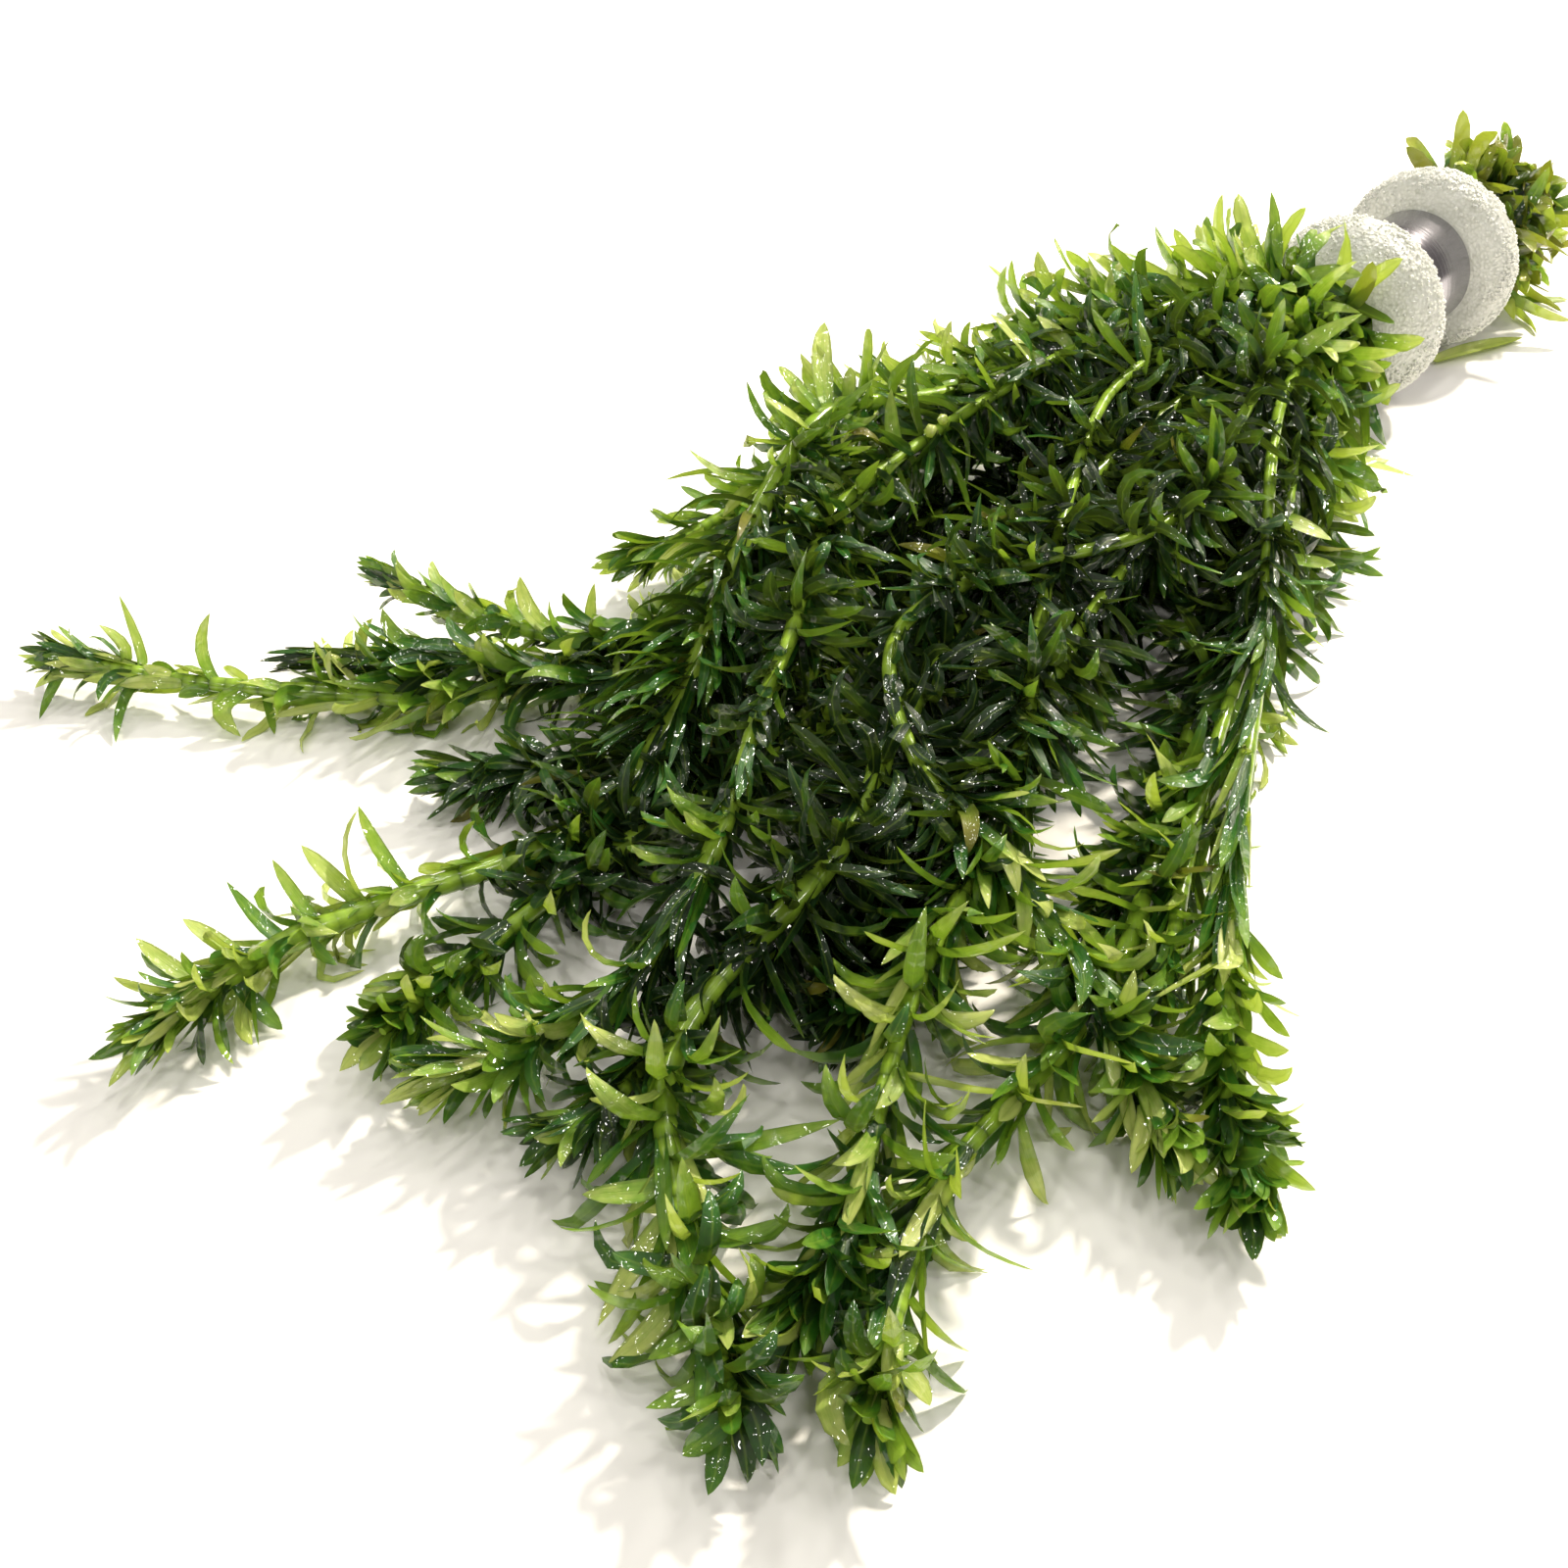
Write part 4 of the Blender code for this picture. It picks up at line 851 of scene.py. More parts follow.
def in_sleeve(lines):
    """Whether each leaf's middle line comes within 0.6 mm of the sleeve or the band."""
    radius = np.hypot(lines[..., 1], lines[..., 2] - AXIS_HEIGHT)
    inside = (radius < foam_reach(lines[..., 0]) + 0.6) & (lines[..., 0] > FOAM_BACK - 0.5)
    return np.any(inside & (lines[..., 0] < FOAM_FRONT + 0.5), axis=1)


def crowding(routes, number, places):
    """How full it is round places on the stem of this number, from 0 to 1, by how many points of
    other stems are near. It sets the painted shade on the stem."""
    others = np.vstack([route for n, route in enumerate(routes) if n != number])
    gaps = np.linalg.norm(places[:, None] - others[None], axis=2)
    return fade((gaps < CROWD_REACH).sum(axis=1), 0, CROWD_FULL)


def heart_of(places):
    """1 in the heart of the fan, where more leaves lie over each other and painted shade darkens them, fading
    to 0.
    """
    x, y = places[..., 0], places[..., 1]
    near, far = HEART_ALONG
    right, left = HEART_ACROSS
    return fade(x, *near) * fade(x, *far) * fade(y, *right) * fade(y, *left)


def painted_hollow_shade(places):
    """Painted shade: 1 low in the middle of the hollow between the stems that part in front, where the leaves
    are painted darkest, fading to 0.
    """
    away = np.hypot(places[..., 0] - HOLLOW[0], places[..., 1] - HOLLOW[1])
    return bell(away, HOLLOW_SIZE) * fade(places[..., 2], *HOLLOW_HEIGHT)


def seen(places):
    """Where the photograph's camera sees places: rightwards and upwards over depth, and the depth."""
    ahead = unit(np.array(CAMERA_AHEAD))
    right = unit(np.cross(ahead, UP))
    gap = places - np.array(CAMERA_PLACE)
    depth = gap @ ahead
    return gap @ right / depth, gap @ np.cross(right, ahead) / depth, depth


def kept_in_view(routes):
    """Points that other leaves leave in view: along all bare stretches and single leaves, and buds."""
    rods = [own_lines(name, Course(route))[:, 4:-1].reshape(-1, 3) for name, route in zip(STEMS, routes)]
    rods += [places for places, _ in BUDS.values()]
    for name, route in zip(STEMS, routes):
        course = Course(route)
        marks = np.arange(0, course.length, 1.0)
        bare = in_spans(course.length - marks, BARE, name) > 0.65
        rods.append(course.read(course.points, marks)[bare])
    return np.vstack(rods)


def hides(lines, rods):
    """Whether each leaf's middle line passes close in front of one of the rods' points, as the
    camera sees it."""
    x, y, depth = seen(lines.reshape(-1, 3))
    rod_x, rod_y, rod_depth = seen(rods)
    gap = np.hypot(x[:, None] - rod_x, y[:, None] - rod_y) * rod_depth
    blocked = (gap < HIDING_REACH) & (depth[:, None] < rod_depth + 0.5)
    return blocked.any(axis=1).reshape(lines.shape[:2]).any(axis=1)


def layers(places, routes):
    """How deep in leaves places are: a sum over all stems' points of e^-(gap / LAYER_REACH)^2, scaled
    so that a stem of its own gives about 1 and a dense bundle 4 or more."""
    points = np.vstack([route[::2] for route in routes])
    squares = [np.sum(each ** 2, axis=1) for each in (places, points)]
    gaps = squares[0][:, None] + squares[1][None] - 2 * places @ points.T
    return np.exp(-gaps / LAYER_REACH ** 2).sum(axis=1) / LAYER_OF_ONE


def rod_arrays(name, course, at, draws, crowd, draw):
    """The stem itself as a tube: places, quads, end faces, and each place's tone and knot.

    A knot falls off as e^-(d / 0.4 mm)^2 from its whorl, and the radius grows from 0.4 of its full
    size at the tip as 1 - e^-(d / ROD_GROWTH).
    """
    # Rings just before, at and after each whorl, and halfway between whorls
    marks = np.concatenate([[0.0], at, at - 0.3, at + 0.3, (at[1:] + at[:-1]) / 2, [course.length]])
    marks = np.unique(np.clip(marks, 0, course.length).round(3))
    from_tip = course.length - marks
    nearest = np.abs(marks[:, None] - at[None])
    knots = bell(nearest.min(axis=1), 0.4) * (0.65 + 0.35 * draws[nearest.argmin(axis=1), 0, 0])
    grown = 1 - np.exp(-from_tip / ROD_GROWTH)
    bare = in_spans(from_tip, BARE, name)
    # In front the stems are sheathed by the feet of their leaves, except on the bare stretches
    sheath = fade(course.at(marks)[0][:, 0], *SHEATHED) * (1 - bare)
    radii = ROD_RADIUS * ROD_SIZE.get(name, 1.0) * (0.4 + 0.6 * grown) * (1 - 0.06 * knots + 0.4 * sheath)
    # Painted shade: a stem is darker where more of the other stems run near it
    tone = (BASE_TONE[STEMS[name][3]] + 0.16 - 0.4 * np.interp(marks, course.along, crowd) + 0.25 * bare
            + 0.26 * draw.uniform(-1, 1, len(at) + 1)[np.searchsorted(-at, -marks)])
    places, quads, caps = tube(course, marks, radii)
    return (places, quads, caps, np.append(np.repeat(tone, ROD_SIDES), [tone[0], tone[-1]]),
            np.append(np.repeat(knots, ROD_SIDES), [0.0, 0.0]))


def leaf_angles(luck, kinds, angles, young, mature, flare):
    """Angles of leaves from their stem in radians, from the young angle at a growing tip to the
    angle of a grown leaf of its kind, and opened by the flare."""
    *of_kinds, of_others = [least + more * luck for least, more in angles]
    grown = np.select(kinds, of_kinds, of_others)
    return np.radians((young * (1 - mature) + grown * mature) * flare)


def fit_lines(waiting, foot, ahead, out, length, first, last, sweep, pull):
    """Middle lines of the leaves that wait for one. One that would enter the sleeve or reach too
    far back is drawn closer to its stem and shorter, and stays nan where that doesn't help."""
    lines = np.full((len(waiting), len(LEAF_ROWS), 3), np.nan)
    for close in (1.0, 0.7, 0.45, 0.25):
        trial = leaf_lines(foot, ahead, out, length * (0.6 + 0.4 * close), first * close, last * close,
                           sweep, pull)
        good = waiting & ~in_sleeve(trial) & (trial[..., 0].min(axis=1) > FARTHEST_BACK)
        lines[good] = trial[good]
        waiting = waiting & ~good
    return lines


def painted_shade_tones(lines, routes):
    """Painted shade on leaves' tones, for each vertex: less where more leaves lie round it, in the heart
    of the fan and in its hollow, where shade would fall. It is worked out at the foot, the middle row
    and the tip, and is even between them."""
    ends = lines[:, (0, MIDDLE_ROW, -1)]
    deep = layers(ends.reshape(-1, 3), routes).reshape(len(lines), 3)
    tones = (0.4 - 0.19 * np.clip(deep, 0, 3.2) - heart_of(ends) * (0.27 + 0.27 * fade(deep, 0, 1.8))
             - 0.35 * painted_hollow_shade(ends))
    shares = vertex_shares(len(LEAF_ROWS))[None]
    near = fade(shares, 0, LEAF_ROWS[MIDDLE_ROW])
    far = fade(shares, LEAF_ROWS[MIDDLE_ROW], 1)
    return tones[:, :1] * (1 - near) + tones[:, 1:2] * (near - far) + tones[:, 2:] * far


def leaf_arrays(name, course, whorls, routes, plant, rods, draw):
    """All leaves of a stem but the single ones, as (leaf, vertex) places, tones and how far each
    vertex has wilted: four leaves in a whorl, and more that have slipped out of place."""
    _, _, spread, finish, _ = STEMS[name]
    from_tip, turns, draws = whorls
    at = course.length - from_tip
    whorl = np.repeat(np.arange(len(at)), LEAVES_PER_WHORL)
    leaf = np.tile(np.arange(LEAVES_PER_WHORL), len(at))
    own = len(whorl)
    # Most of those that have slipped are in the heart of the bunch
    foot_place = course.at(at)[0]
    heart = heart_of(foot_place)
    more = (EXTRA_LEAVES * (0.9 + 0.4 * fade(foot_place[:, 0], *SLIPPING)) + 1.7 * heart
            + 1.3 * (in_spans(from_tip, PRESSED, name) > 0.92) + 1.2 * name.startswith("under")
            + 0.7 * (foot_place[:, 0] < FOAM_BACK))
    slipped = np.repeat(np.arange(own), draw.poisson(more[whorl]))
    whorl, leaf = np.append(whorl, whorl[slipped]), np.append(leaf, leaf[slipped])
    count = len(whorl)
    extra = np.arange(count) >= own
    each = draws[whorl, leaf]
    each[own:] = draw.uniform(-1, 1, (len(slipped), 4))
    from_tip, heart = from_tip[whorl], heart[whorl]
    mature = 1 - np.exp(-from_tip / LEAF_OPENING)
    slip = np.where(extra, 1.9, 0.35) * draw.uniform(-1, 1, count) * mature
    place, ahead, side, rise = course.at(at[whorl] + slip)
    turn = turns[whorl] + leaf * np.pi / 2 + 0.35 * draw.uniform(-1, 1, count) * mature
    turn[own:] += np.pi / 4
    out = np.cos(turn)[:, None] * side + np.sin(turn)[:, None] * rise
    bare, pressed, perked = (in_spans(from_tip, spans, name) for spans in (BARE, PRESSED, PERKED))
    front = fade(place[:, 0], *LOOSE)
    behind = place[:, 0] < FOAM_BACK - 0.5
    # Stray leaves lie across the heart of the bunch
    stray = extra & (draw.uniform(0, 1, count) < heart_of(place))
    luck = draw.uniform(0, 1, (6, count))

    # Leaves are longest near the sleeve, where the stems are oldest
    old = fade(place[:, 0], *OLDEST) * mature
    length = (YOUNG_LEAF + (plant.leaf_length - YOUNG_LEAF) * (1 - np.exp(-from_tip / LEAF_GROWTH))
              + OLD_LEAF_MORE * old)
    drawn_out = 0.35 * pressed * fade(from_tip, 30, 45)
    length = (length * LEAF_SIZE.get(name, 1.0) * (1 + 0.25 * each[:, 0] + drawn_out + 0.1 * stray)
              * (1 - 0.14 * heart))
    # Grown leaves cling to their stem, curl back or stand out
    wet_share = np.maximum(0.2 + 0.3 * np.exp(-from_tip / 50.0), pressed)
    clinging = (luck[0] < wet_share) & ~extra | (luck[0] < pressed)
    curled = ~clinging & (luck[0] > 0.56 + 0.2 * old - 0.25 * front)
    flare = spread * (1 + (TIP_FLARE.get(name, 1.0) - 1) * bell(from_tip, 14.0))
    first = leaf_angles(luck[1], [stray, clinging, curled], FOOT_ANGLES, YOUNG_ANGLES[0], mature, flare)
    last = leaf_angles(luck[2], [clinging, curled], TIP_ANGLES, YOUNG_ANGLES[1], mature, flare)
    # On the bare stretches only stubs are left of most leaves
    stub = (luck[3] < STUB_SHARE) & (luck[4] < bare)
    length = np.where(stub, (0.3 + 0.25 * luck[1]) * length, length)
    first, last = np.where(stub, 0.3, first), np.where(stub, 0.4 + 0.5 * luck[1], last)
    free = np.where(clinging, 0.35, 1.0)
    sweep = (1.3 * each[:, 3] + draw.uniform(-0.8, 0.8, count)) * free
    twist = draw.uniform(-1.5, 1.5, count) * np.where(clinging, 0.5, 1.0)
    # Wet leaves cling to each other: near ones are drawn the same way, and most sag a little
    clump = np.stack([value_noise(place, 6.5, 21 + axis) for axis in range(3)], axis=1)
    sag = np.where(perked > 0.5, 0.15, -(0.7 + 0.6 * stray) * luck[5])[:, None] * UP
    toward = np.array(LANE) - place
    pull = ((0.9 * clump + sag) * ((0.35 + 0.65 * mature) * free)[:, None]
            + 1.3 * bell(np.linalg.norm(toward, axis=1), 19)[:, None] * unit(toward))
    # At the cut ends they point back
    ahead = np.where(behind[:, None], -ahead, ahead)
    first = np.where(behind, np.radians(40 + 35 * each[:, 1]), first)
    last = np.where(behind, np.radians(75 + 90 * each[:, 2]), last)
    length = np.where(behind, (0.76 + 0.25 * each[:, 0]) * length, length)

    # Some are missing, and most on the right of the stems at the fan's right edge; the sleeve holds
    # others, and those that hide what the photograph shows are left out
    missing = draw.uniform(0, 1, count) < np.where(behind, 0.1, 0.06 + 0.32 * old + 0.6 * bare)
    rightwards = out @ unit(np.cross(CAMERA_AHEAD, UP))
    if name == "right_stem":
        missing |= (pressed > 0.5) & (rightwards > 0.3) & (luck[4] < 0.75)
    if name in ("inner_right_stem", "under_right_stem"):
        missing |= (rightwards > 0.2) & (luck[4] < 0.6 * fade(place[:, 0], *THIN_EDGE))
    held = (place[:, 0] > FOAM_BACK - 0.5) & (place[:, 0] < FOAM_FRONT + 0.8)
    lines = fit_lines(~(held | missing), place + 0.8 * STEM_RADIUS * out, ahead, out, length, first, last,
                      sweep, pull)
    kept = ~np.isnan(lines[:, 0, 0])
    kept[kept] = ~hides(lines[kept], rods) | stub[kept] | (luck[5][kept] > 1 - HIDING_SHARE)
    widths = (plant.leaf_width * (0.58 + 0.16 * mature + 0.27 * old) * (1 - 0.25 * pressed)
              * (1 - 0.12 * heart) * (1 + 0.08 * front) * (1 + 0.15 * draw.uniform(-1, 1, count))
              * (0.5 + 0.5 * flare / spread))
    shells = leaf_shells(lines[kept], np.cross(ahead, out)[kept], widths[kept], twist[kept], plant,
                         5.5 + 6 * old[kept])

    # Tones from 0 for the darkest to 1 for the lightest: painted shade makes a leaf darkest at the
    # growing tips, where the leaves of the brush lie over each other, and in the heart of the fan; a leaf
    # pales towards its own tip
    varied = (0.2 + 0.1 * front) * each[:, 3] + 0.14 * draw.uniform(-1, 1, count)
    heart = heart_of(place)
    tone = (BASE_TONE[finish] + STEM_TONE.get(name, 0.0) + varied * (1 - 0.45 * heart) - 0.08 * extra
            - 0.12 * stray + 0.4 * (each[:, 2] > 0.78) * (1 - heart) - 0.04 * behind - 0.04 * front
            - (0.26 + 0.2 * pressed) * bell(from_tip, 18.0) - 0.04 * old)
    shares = vertex_shares(len(LEAF_ROWS))[None]
    tones = painted_shade_tones(lines[kept], routes) + tone[kept][:, None] + 0.14 * (shares - 0.5)
    # Leaves at the cut ends, and a few others, are brown from the tip
    age = np.where(behind, 0.75 * luck[3], 0.6 * (luck[3] > 0.99))[kept][:, None]
    return shells, tones, np.clip(age * 1.3 - 0.9 * (1 - shares), 0, 1)


def stem_arrays(name, number, routes, plant, rods):
    """Every array of one stem's mesh, as mesh_object takes them: the rod, all its leaves and its buds."""
    course = Course(routes[number])
    whorls = whorl_plan(course.length, SEEDS[name])
    draw = np.random.RandomState(SEEDS[name] + LEAF_SEED)
    crowd = crowding(routes, number, course.points)
    rod, rod_quads, rod_caps, rod_tone, rod_knot = rod_arrays(
        name, course, course.length - whorls[0], whorls[2], crowd, draw)
    grown = leaf_arrays(name, course, whorls, routes, plant, rods, draw)
    shells, tones, wilt = (np.concatenate(both) for both in zip(grown, own_leaves(name, course, plant)))
    quads, triangles = leaf_faces(len(shells), len(LEAF_ROWS))
    base = len(rod)
    buds, bud_faces = beads(*BUDS.get(name, NO_BUDS))
    places = np.vstack([rod, shells.reshape(-1, 3), buds])
    maps = np.vstack([np.zeros((base, 2)), leaf_map(len(shells), len(LEAF_ROWS)),
                      np.full((len(buds), 2), 0.2)])
    attributes = {"tone": np.clip(np.concatenate([rod_tone, tones.ravel(), np.ones(len(buds))]), 0, 1),
                  "knot": np.concatenate([rod_knot, wilt.ravel(), np.zeros(len(buds))])}
    triangles = np.vstack([triangles + base, bud_faces + base + tones.size])
    surfaces = np.concatenate([np.zeros(len(rod_quads)), np.ones(len(quads)),
                               np.zeros(len(rod_caps)), np.ones(len(triangles))])
    return (places, np.vstack([rod_quads, quads + base]), np.vstack([rod_caps, triangles]),
            attributes, {"leaf_map": maps}, surfaces)


def own_lines(name, course):
    """Middle lines of the stem's single leaves, as foot (1 - t)^2 + 2 t (1 - t) c + tip t^2, where c
    is such that the line passes the leaf's middle at t = 1/2."""
    rows = OWN_LEAVES.get(name, [])
    foot = course.at(course.length - np.array([row[0] for row in rows]))[0].reshape(-1, 1, 3)
    middle, tip = (np.array([row[n] for row in rows]).reshape(-1, 1, 3) for n in (1, 2))
    t = LEAF_ROWS[None, :, None]
    return foot * (1 - t) ** 2 + 2 * t * (1 - t) * (2 * middle - (foot + tip) / 2) + tip * t ** 2


def own_leaves(name, course, plant):
    """The stem's single leaves, as leaf_arrays gives the others. Their flat sides face between the
    camera and the light, and none has wilted."""
    rows = OWN_LEAVES.get(name, [])
    if not rows:
        return np.zeros((0, LEAF_VERTICES, 3)), np.zeros((0, LEAF_VERTICES)), np.zeros((0, LEAF_VERTICES))
    widths, tones = (np.array([row[n] for row in rows], float) for n in (3, 4))
    lines = own_lines(name, course)
    facing = unit(CAMERA_PLACE - lines[:, MIDDLE_ROW]) + 0.75 * unit(np.array(KEY_PLACE))
    side = unit(np.cross(lines[:, -1] - lines[:, 0], facing))
    twists = np.resize([0.3, -0.4, 0.1], len(rows))
    shells = leaf_shells(lines, side, widths, twists, plant, 6.5)
    tones = tones[:, None] - 0.25 * (1 - vertex_shares(len(LEAF_ROWS)))[None] ** 2
    return shells, tones, np.zeros(tones.shape)


def in_spans(distances, table, name):
    """A span's share inside it and 0 outside all of a stem's spans, with edges that fade over 4 mm."""
    shares = [share * np.clip(np.minimum(distances - low, high - distances) / 4.0 + 0.5, 0, 1)
              for low, high, share in table.get(name, [])]
    return np.max(shares, axis=0) if shares else np.zeros(len(distances))


def chance(corners, seed):
    """A steady random number from 0 to 1 for each whole-numbered corner."""
    keys = corners.astype(np.int64) * (73856093, 19349663, 83492791)
    mixed = (keys[..., 0] ^ keys[..., 1] ^ keys[..., 2]) + seed * 2654435761
    mixed = ((mixed ^ (mixed >> 13)) * 1274126177) & 0xFFFFFFFF
    return ((mixed ^ (mixed >> 16)) & 0xFFFF) / 65535.0


def value_noise(places, cell, seed):
    """Smooth noise from -1 to 1: random values at the corners of cubes of this size, blended by
    3t^2 - 2t^3 along each direction."""
    scaled = np.asarray(places) / cell
    low = np.floor(scaled)
    part = scaled - low
    part = part * part * (3 - 2 * part)
    total = np.zeros(scaled.shape[:-1])
    for corner in np.ndindex(2, 2, 2):
        weight = np.prod(np.where(np.array(corner) == 1, part, 1 - part), axis=-1)
        total += weight * (2 * chance(low + corner, seed) - 1)
    return total


def cell_noise(places, cell, seed):
    """Distance to the nearest of random points, one in each cube of this size, over that size."""
    scaled = np.asarray(places) / cell
    low = np.floor(scaled)
    nearest = np.full(scaled.shape[:-1], 9.0)
    for corner in np.ndindex(3, 3, 3):
        cube = low + corner - 1
        point = cube + np.stack([chance(cube, seed + axis) for axis in range(3)], axis=-1)
        nearest = np.minimum(nearest, np.linalg.norm(scaled - point, axis=-1))
    return nearest


def turned(outline, sides):
    """A closed outline of (along, radius) points turned about the sleeve's axis."""
    turn = 2 * np.pi * np.arange(sides) / sides
    along = np.repeat(outline[:, :1], sides, axis=1)
    across = outline[:, 1:] * np.sin(turn)[None]
    height = AXIS_HEIGHT - outline[:, 1:] * np.cos(turn)[None]
    k, i = np.meshgrid(np.arange(len(outline)), np.arange(sides), indexing="ij")
    m, j = (k + 1) % len(outline), (i + 1) % sides
    quads = np.stack([k * sides + i, k * sides + j, m * sides + j, m * sides + i], axis=-1)
    return np.stack([along, across, height], axis=-1).reshape(-1, 3), quads.reshape(-1, 4)


def closed_outline(points, count, crowded):
    """A smooth closed curve through the points, as count points that are closer where crowded, a
    function of the places, says so."""
    loop = np.vstack([points[-2:], points, points[:3]])
    curve = smooth_route(loop, 0.05)
    at_start = np.flatnonzero(np.linalg.norm(curve - points[0], axis=1) < 1e-6)
    curve = curve[at_start[0]:at_start[-1] + 1]
    steps = np.linalg.norm(np.diff(curve, axis=0), axis=1) * crowded((curve[1:] + curve[:-1]) / 2)
    marks = np.concatenate([[0], np.cumsum(steps)])
    wanted = marks[-1] * np.arange(count) / count
    return np.stack([np.interp(wanted, marks, curve[:, n]) for n in range(2)], axis=1)


def beads(places, sizes):
    """Balls of 20 faces with these middles and radii: the corners of an icosahedron lie on the
    unit ball in threes of (0, 1, g) and its turns, where g is the golden ratio."""
    g = (1 + math.sqrt(5)) / 2
    corners = unit(np.array([(-1, g, 0), (1, g, 0), (-1, -g, 0), (1, -g, 0), (0, -1, g), (0, 1, g),
                             (0, -1, -g), (0, 1, -g), (g, 0, -1), (g, 0, 1), (-g, 0, -1), (-g, 0, 1)]))
    faces = np.array([(0, 11, 5), (0, 5, 1), (0, 1, 7), (0, 7, 10), (0, 10, 11), (1, 5, 9), (5, 11, 4),
                      (11, 10, 2), (10, 7, 6), (7, 1, 8), (3, 9, 4), (3, 4, 2), (3, 2, 6), (3, 6, 8),
                      (3, 8, 9), (4, 9, 5), (2, 4, 11), (6, 2, 10), (8, 6, 7), (9, 8, 1)])
    made = places[:, None] + sizes[:, None, None] * corners[None]
    starts = len(corners) * np.arange(len(places))[:, None, None]
    return made.reshape(-1, 3), (starts + faces[None]).reshape(-1, 3)


def foam_arrays(sleeve):
    """The sleeve's outline turned about its axis, rough with torn cells that hold beads of water, as
    places, quads, triangles and which places are water's."""
    outline = closed_outline(np.array(FOAM_SHAPE), FOAM_POINTS,
                             lambda at: np.where(at[:, 1] > WAIST_RADIUS, 1.0, 0.25))
    places, quads = turned(outline, FOAM_SIDES)
    along = np.roll(outline, -1, axis=0) - np.roll(outline, 1, axis=0)
    normal = np.repeat(unit(np.stack([along[:, 1], -along[:, 0]], axis=1)), FOAM_SIDES, axis=0)
    turn = np.arctan2(places[:, 1], AXIS_HEIGHT - places[:, 2])
    out = np.stack([normal[:, 0], normal[:, 1] * np.sin(turn), -normal[:, 1] * np.cos(turn)], axis=1)
    # Torn cells are domes on the rims and faces, under the sleeve's own outline
    domes = 1 - cell_noise(places, 1.6 * sleeve.grain_size, 3)
    lumps = value_noise(places, 5.0, 4) + 0.5 * value_noise(places, 2.2, 5)
    reach = np.repeat(outline[:, 1], FOAM_SIDES)
    rough = fade(reach, WAIST_RADIUS, 13.3)
    # They stand out most along the outer edges of the two rolls
    edge = bell(reach - RIM_RADIUS, 2.2)
    height = rough * (sleeve.grain_height * (0.25 + 0.75 * edge) * (domes - 1) + 0.12 * lumps - 0.12)
    places = places + height[:, None] * out
    # The beads of water too are most along those edges
    draw = np.random.RandomState(BEAD_SEED)
    wanted = (rough * (0.06 + bell(reach - RIM_RADIUS, 1.7)) * reach
              * (0.5 + 0.5 * value_noise(places, 3.0, 6)) ** 2)
    at = draw.choice(len(places), WATER_BEADS, replace=False, p=wanted / wanted.sum())
    sizes = 0.5 * sleeve.grain_size * draw.uniform(0.6, 1.0, len(at))
    middles = places[at] + 0.12 * out[at] + 0.1 * draw.uniform(-1, 1, (len(at), 3))
    water, water_faces = beads(middles, sizes)
    wet = np.append(np.zeros(len(places)), np.ones(len(water)))
    water_faces = water_faces + len(places)
    places = np.vstack([places, water])
    places[:, 2] = np.maximum(places[:, 2], 0.02)
    return places, quads, water_faces, wet


def band_arrays():
    """The band, a thin ring: four corners, each a quarter circle in its section, turned about the
    sleeve's axis, with its outside a little dented, as places and quads."""
    front, back = BAND_FRONT - BAND_CORNER, BAND_BACK + BAND_CORNER
    outer, inner = BAND_OUTER - BAND_CORNER, BAND_INNER + BAND_CORNER
    bow = np.linspace(0, np.pi / 2, 4)
    outline = []
    for number, (x, r) in enumerate([(front, outer), (back, outer), (back, inner), (front, inner)]):
        turn = bow + number * np.pi / 2
        outline.append(np.stack([x + BAND_CORNER * np.cos(turn), r + BAND_CORNER * np.sin(turn)], axis=1))
    places, quads = turned(np.vstack(outline), BAND_SIDES)
    dent = 0.12 * value_noise(places, 9.0, 8)
    outside = np.hypot(places[:, 1], places[:, 2] - AXIS_HEIGHT) > (BAND_OUTER + BAND_INNER) / 2
    places[:, 1] *= 1 + dent / BAND_OUTER * outside
    return places, quads


def area_light(name, place, size, power, colour):
    """Hang a round light of this size at a place, so that it faces the frame's origin."""
    light = bpy.data.lights.new(name, "AREA")
    light.shape = "DISK"
    light.size = size
    light.energy = power
    light.color = linear(colour)[:3]
    lamp = bpy.data.objects.new(name, light)
    lamp.location = place
    lamp.rotation_euler = (Vector() - Vector(place)).to_track_quat("-Z", "Y").to_euler()
    bpy.context.scene.collection.objects.link(lamp)


class WATERWEED_OT_stems(bpy.types.Operator):
    """Make the seventeen leafy stems"""
    bl_idname = "waterweed.stems"
    bl_label = "Stems"

    def execute(self, context):
        plant = context.scene.waterweed_plant
        surfaces = [stem_material(plant), leaf_material(plant)]
        routes = spread_routes(raw_routes())
        rods = kept_in_view(routes)
        for number, (name, row) in enumerate(STEMS.items()):
            places, quads, triangles, *rest = stem_arrays(name, number, routes, plant, rods)
            piece = mesh_object("leafy_" + name, places, quads, triangles, surfaces, *rest)
            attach(piece, "root")
            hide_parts(name)
        return {"FINISHED"}


class WATERWEED_OT_loose_leaf(bpy.types.Operator):
    """Make the leaf that lies beside the sleeve"""
    bl_idname = "waterweed.loose_leaf"
    bl_label = "Loose leaf"

    def execute(self, context):
        plant = context.scene.waterweed_plant
        line = smooth_route([(x, y, 0.5) for x, y in LOOSE_LEAF], 1.6)
        line[:, 2] += 0.25 + 0.5 * np.sin(np.linspace(0, np.pi, len(line)))
        side = unit(np.cross(line[-1:] - line[:1], (0.35, 0.3, 1.0)))
        shells = leaf_shells(line[None], side, np.array([plant.leaf_width]), np.array([0.3]), plant)
        quads, triangles = leaf_faces(1, len(line))
        tone = np.full(shells.shape[1], 0.95)
        piece = mesh_object("wet_loose_leaf", shells.reshape(-1, 3), quads, triangles,
                            [bpy.data.materials["wet_waterweed_leaf"]], {"tone": tone},
                            {"leaf_map": leaf_map(1, len(line))})
        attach(piece, "root")
        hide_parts("loose_leaf")
        return {"FINISHED"}


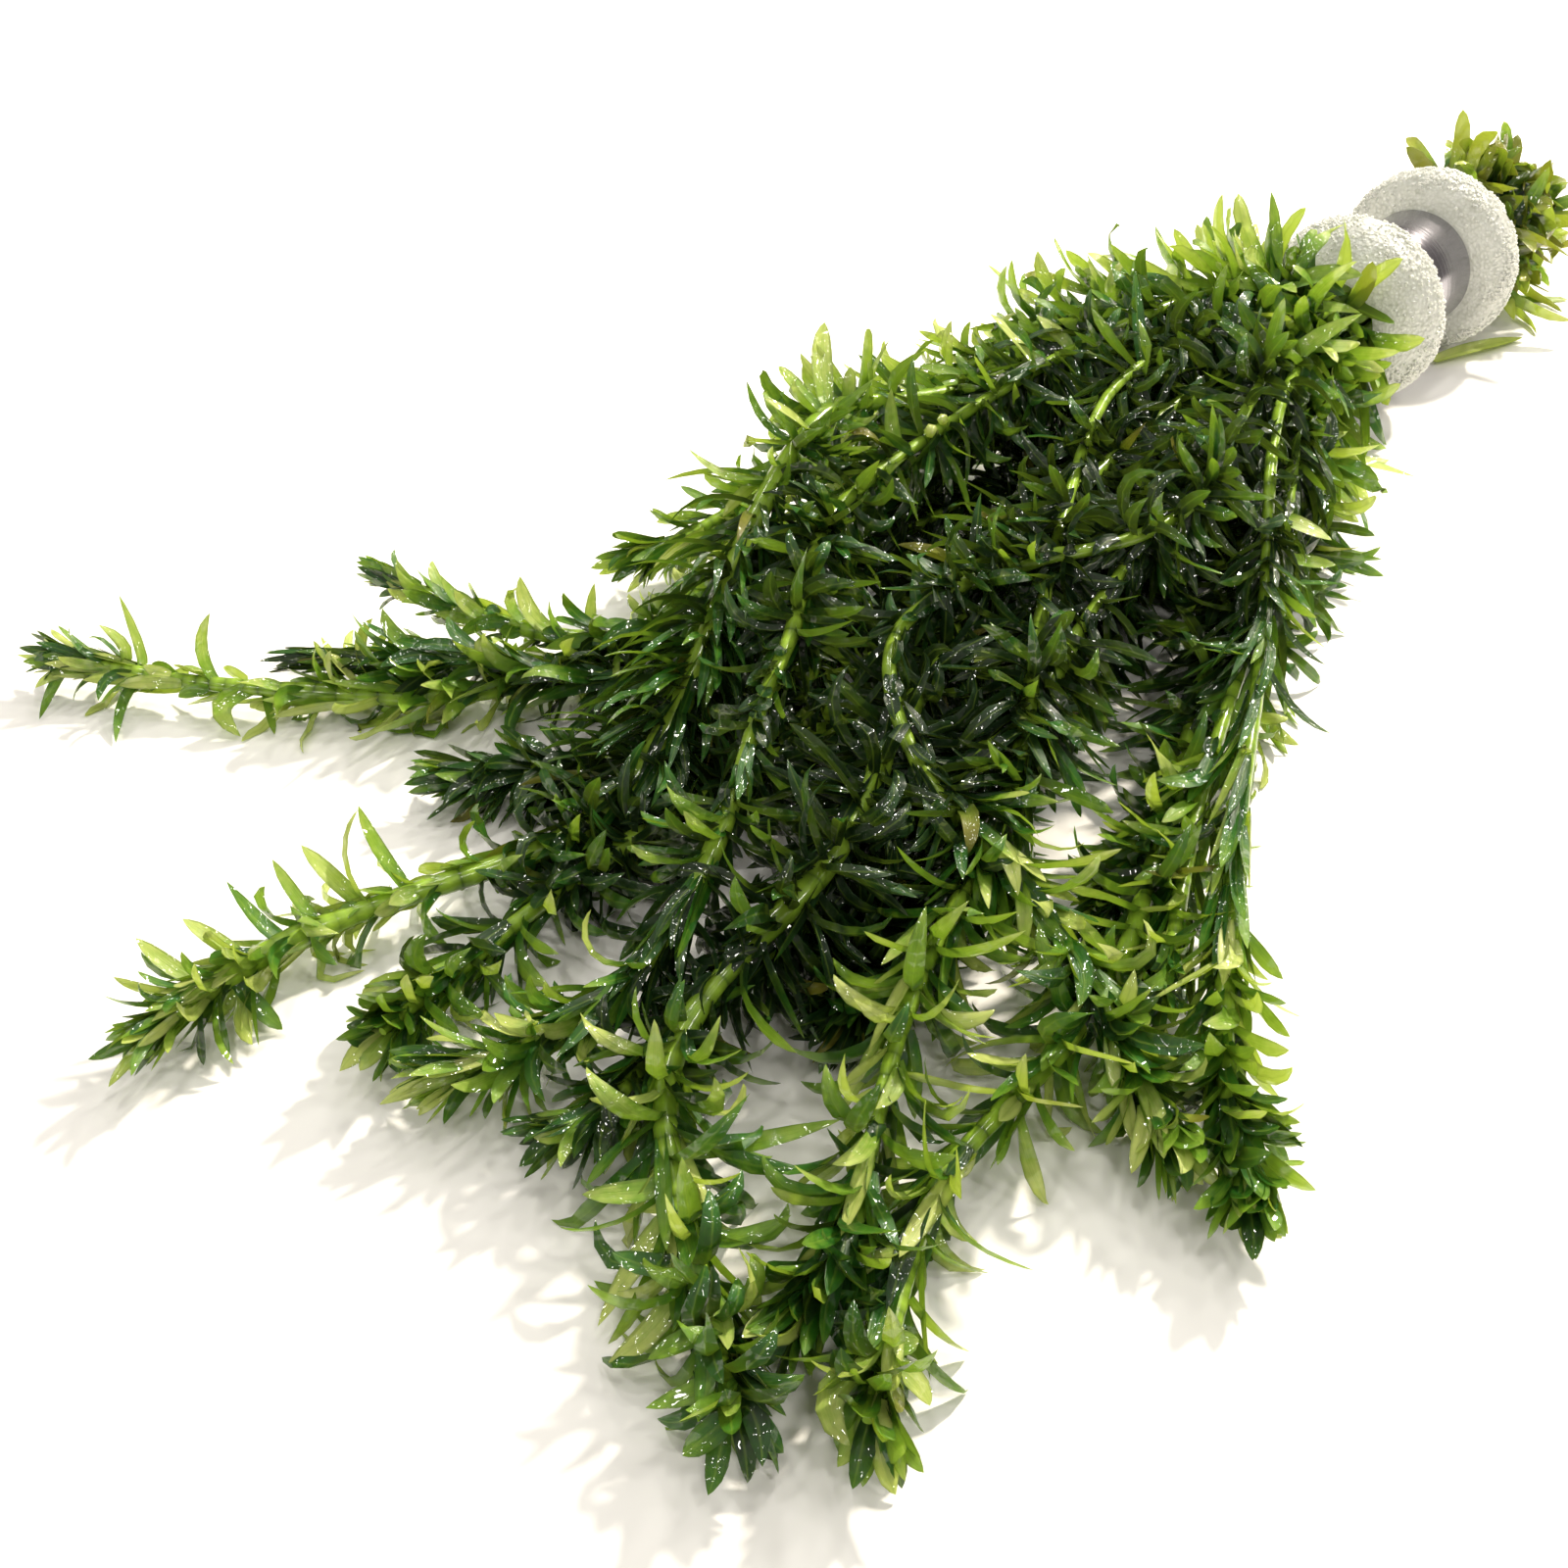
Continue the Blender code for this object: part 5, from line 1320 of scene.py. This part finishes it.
class WATERWEED_OT_sleeve(bpy.types.Operator):
    """Make the pinched foam sleeve and its metal band"""
    bl_idname = "waterweed.sleeve"
    bl_label = "Sleeve and band"

    def execute(self, context):
        sleeve = context.scene.waterweed_sleeve
        places, quads, triangles, wet = foam_arrays(sleeve)
        piece = mesh_object("pinched_foam_sleeve", places, quads, triangles, [foam_material(sleeve)],
                            {"wet": wet})
        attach(piece, "root")
        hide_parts("foam_sleeve")
        places, quads = band_arrays()
        band = mesh_object("aluminium_band", places, quads, [], [band_material(sleeve)])
        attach(band, "root")
        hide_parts("metal_band")
        return {"FINISHED"}


class WATERWEED_OT_stage(bpy.types.Operator):
    """Make the floor, the lights and the camera"""
    bl_idname = "waterweed.stage"
    bl_label = "Stage"

    def execute(self, context):
        stage = context.scene.waterweed_stage
        floor = new_material("matt_white_board")
        skin = add_node(floor, "ShaderNodeBsdfPrincipled", {
            "Base Color": linear(stage.floor_colour), "Roughness": 0.7})
        add_node(floor, "ShaderNodeOutputMaterial", {"Surface": skin.outputs[0]})
        corners = [(x * FLOOR_REACH, y * FLOOR_REACH, FLOOR_HEIGHT)
                   for x, y in ((-1, -1), (1, -1), (1, 1), (-1, 1))]
        board = mesh_object("floor", corners, [(0, 1, 2, 3)], [], [floor])
        world = bpy.data.worlds.new("studio_fill")
        context.scene.world = world
        world.use_nodes = True
        sky = world.node_tree.nodes["Background"]
        sky.inputs["Color"].default_value = linear("#FFF5EA")
        sky.inputs["Strength"].default_value = stage.sky_strength
        area_light("key", KEY_PLACE, KEY_SIZE, stage.key_power, "#FFF4E2")
        for number, place in enumerate(SOFT_BOXES, 1):
            area_light(f"soft_box_{number}", place, BOX_SIZE, stage.box_power, "#FFFBF4")
        ahead = Vector(CAMERA_AHEAD).normalized()
        right = ahead.cross(Vector(UP)).normalized()
        turned_to = Matrix((right, right.cross(ahead), -ahead)).transposed().to_4x4()
        lens = bpy.data.cameras.new("photo_camera")
        lens.sensor_fit = "HORIZONTAL"
        lens.angle = math.radians(CAMERA_ANGLE)
        lens.clip_start = 0.01
        camera = bpy.data.objects.new("photo_camera", lens)
        camera.matrix_world = Matrix.Translation(Vector(to_frame(CAMERA_PLACE))) @ turned_to
        context.scene.collection.objects.link(camera)
        context.scene.camera = camera
        context.scene.view_settings.view_transform = "Standard"
        return {"FINISHED"}


class WATERWEED_PT_panel(bpy.types.Panel):
    """Lists the pieces of the bunch and their settings"""
    bl_idname = "WATERWEED_PT_panel"
    bl_label = "Brazilian waterweed"
    bl_space_type = "VIEW_3D"
    bl_region_type = "UI"
    bl_category = "Waterweed"

    def draw(self, context):
        scene = context.scene
        for settings in (scene.waterweed_plant, scene.waterweed_sleeve, scene.waterweed_stage):
            box = self.layout.box()
            for key in settings.__annotations__:
                box.prop(settings, key)
        for operator in OPERATORS:
            self.layout.operator(operator.bl_idname)


SETTINGS = {
    "waterweed_plant": WaterweedPlantSettings,
    "waterweed_sleeve": WaterweedSleeveSettings,
    "waterweed_stage": WaterweedStageSettings,
}
OPERATORS = (WATERWEED_OT_stage, WATERWEED_OT_stems, WATERWEED_OT_loose_leaf, WATERWEED_OT_sleeve)


def register():
    for made in (*SETTINGS.values(), *OPERATORS, WATERWEED_PT_panel):
        bpy.utils.register_class(made)
    for key, settings in SETTINGS.items():
        setattr(bpy.types.Scene, key, bpy.props.PointerProperty(type=settings))


def unregister():
    for key in SETTINGS:
        delattr(bpy.types.Scene, key)
    for made in reversed((*SETTINGS.values(), *OPERATORS, WATERWEED_PT_panel)):
        bpy.utils.unregister_class(made)


def main():
    """Make the whole scene."""
    register()
    bpy.ops.waterweed.stage()
    bpy.ops.waterweed.stems()
    bpy.ops.waterweed.loose_leaf()
    bpy.ops.waterweed.sleeve()
    bpy.context.view_layer.update()


if __name__ == "__main__":
    main()
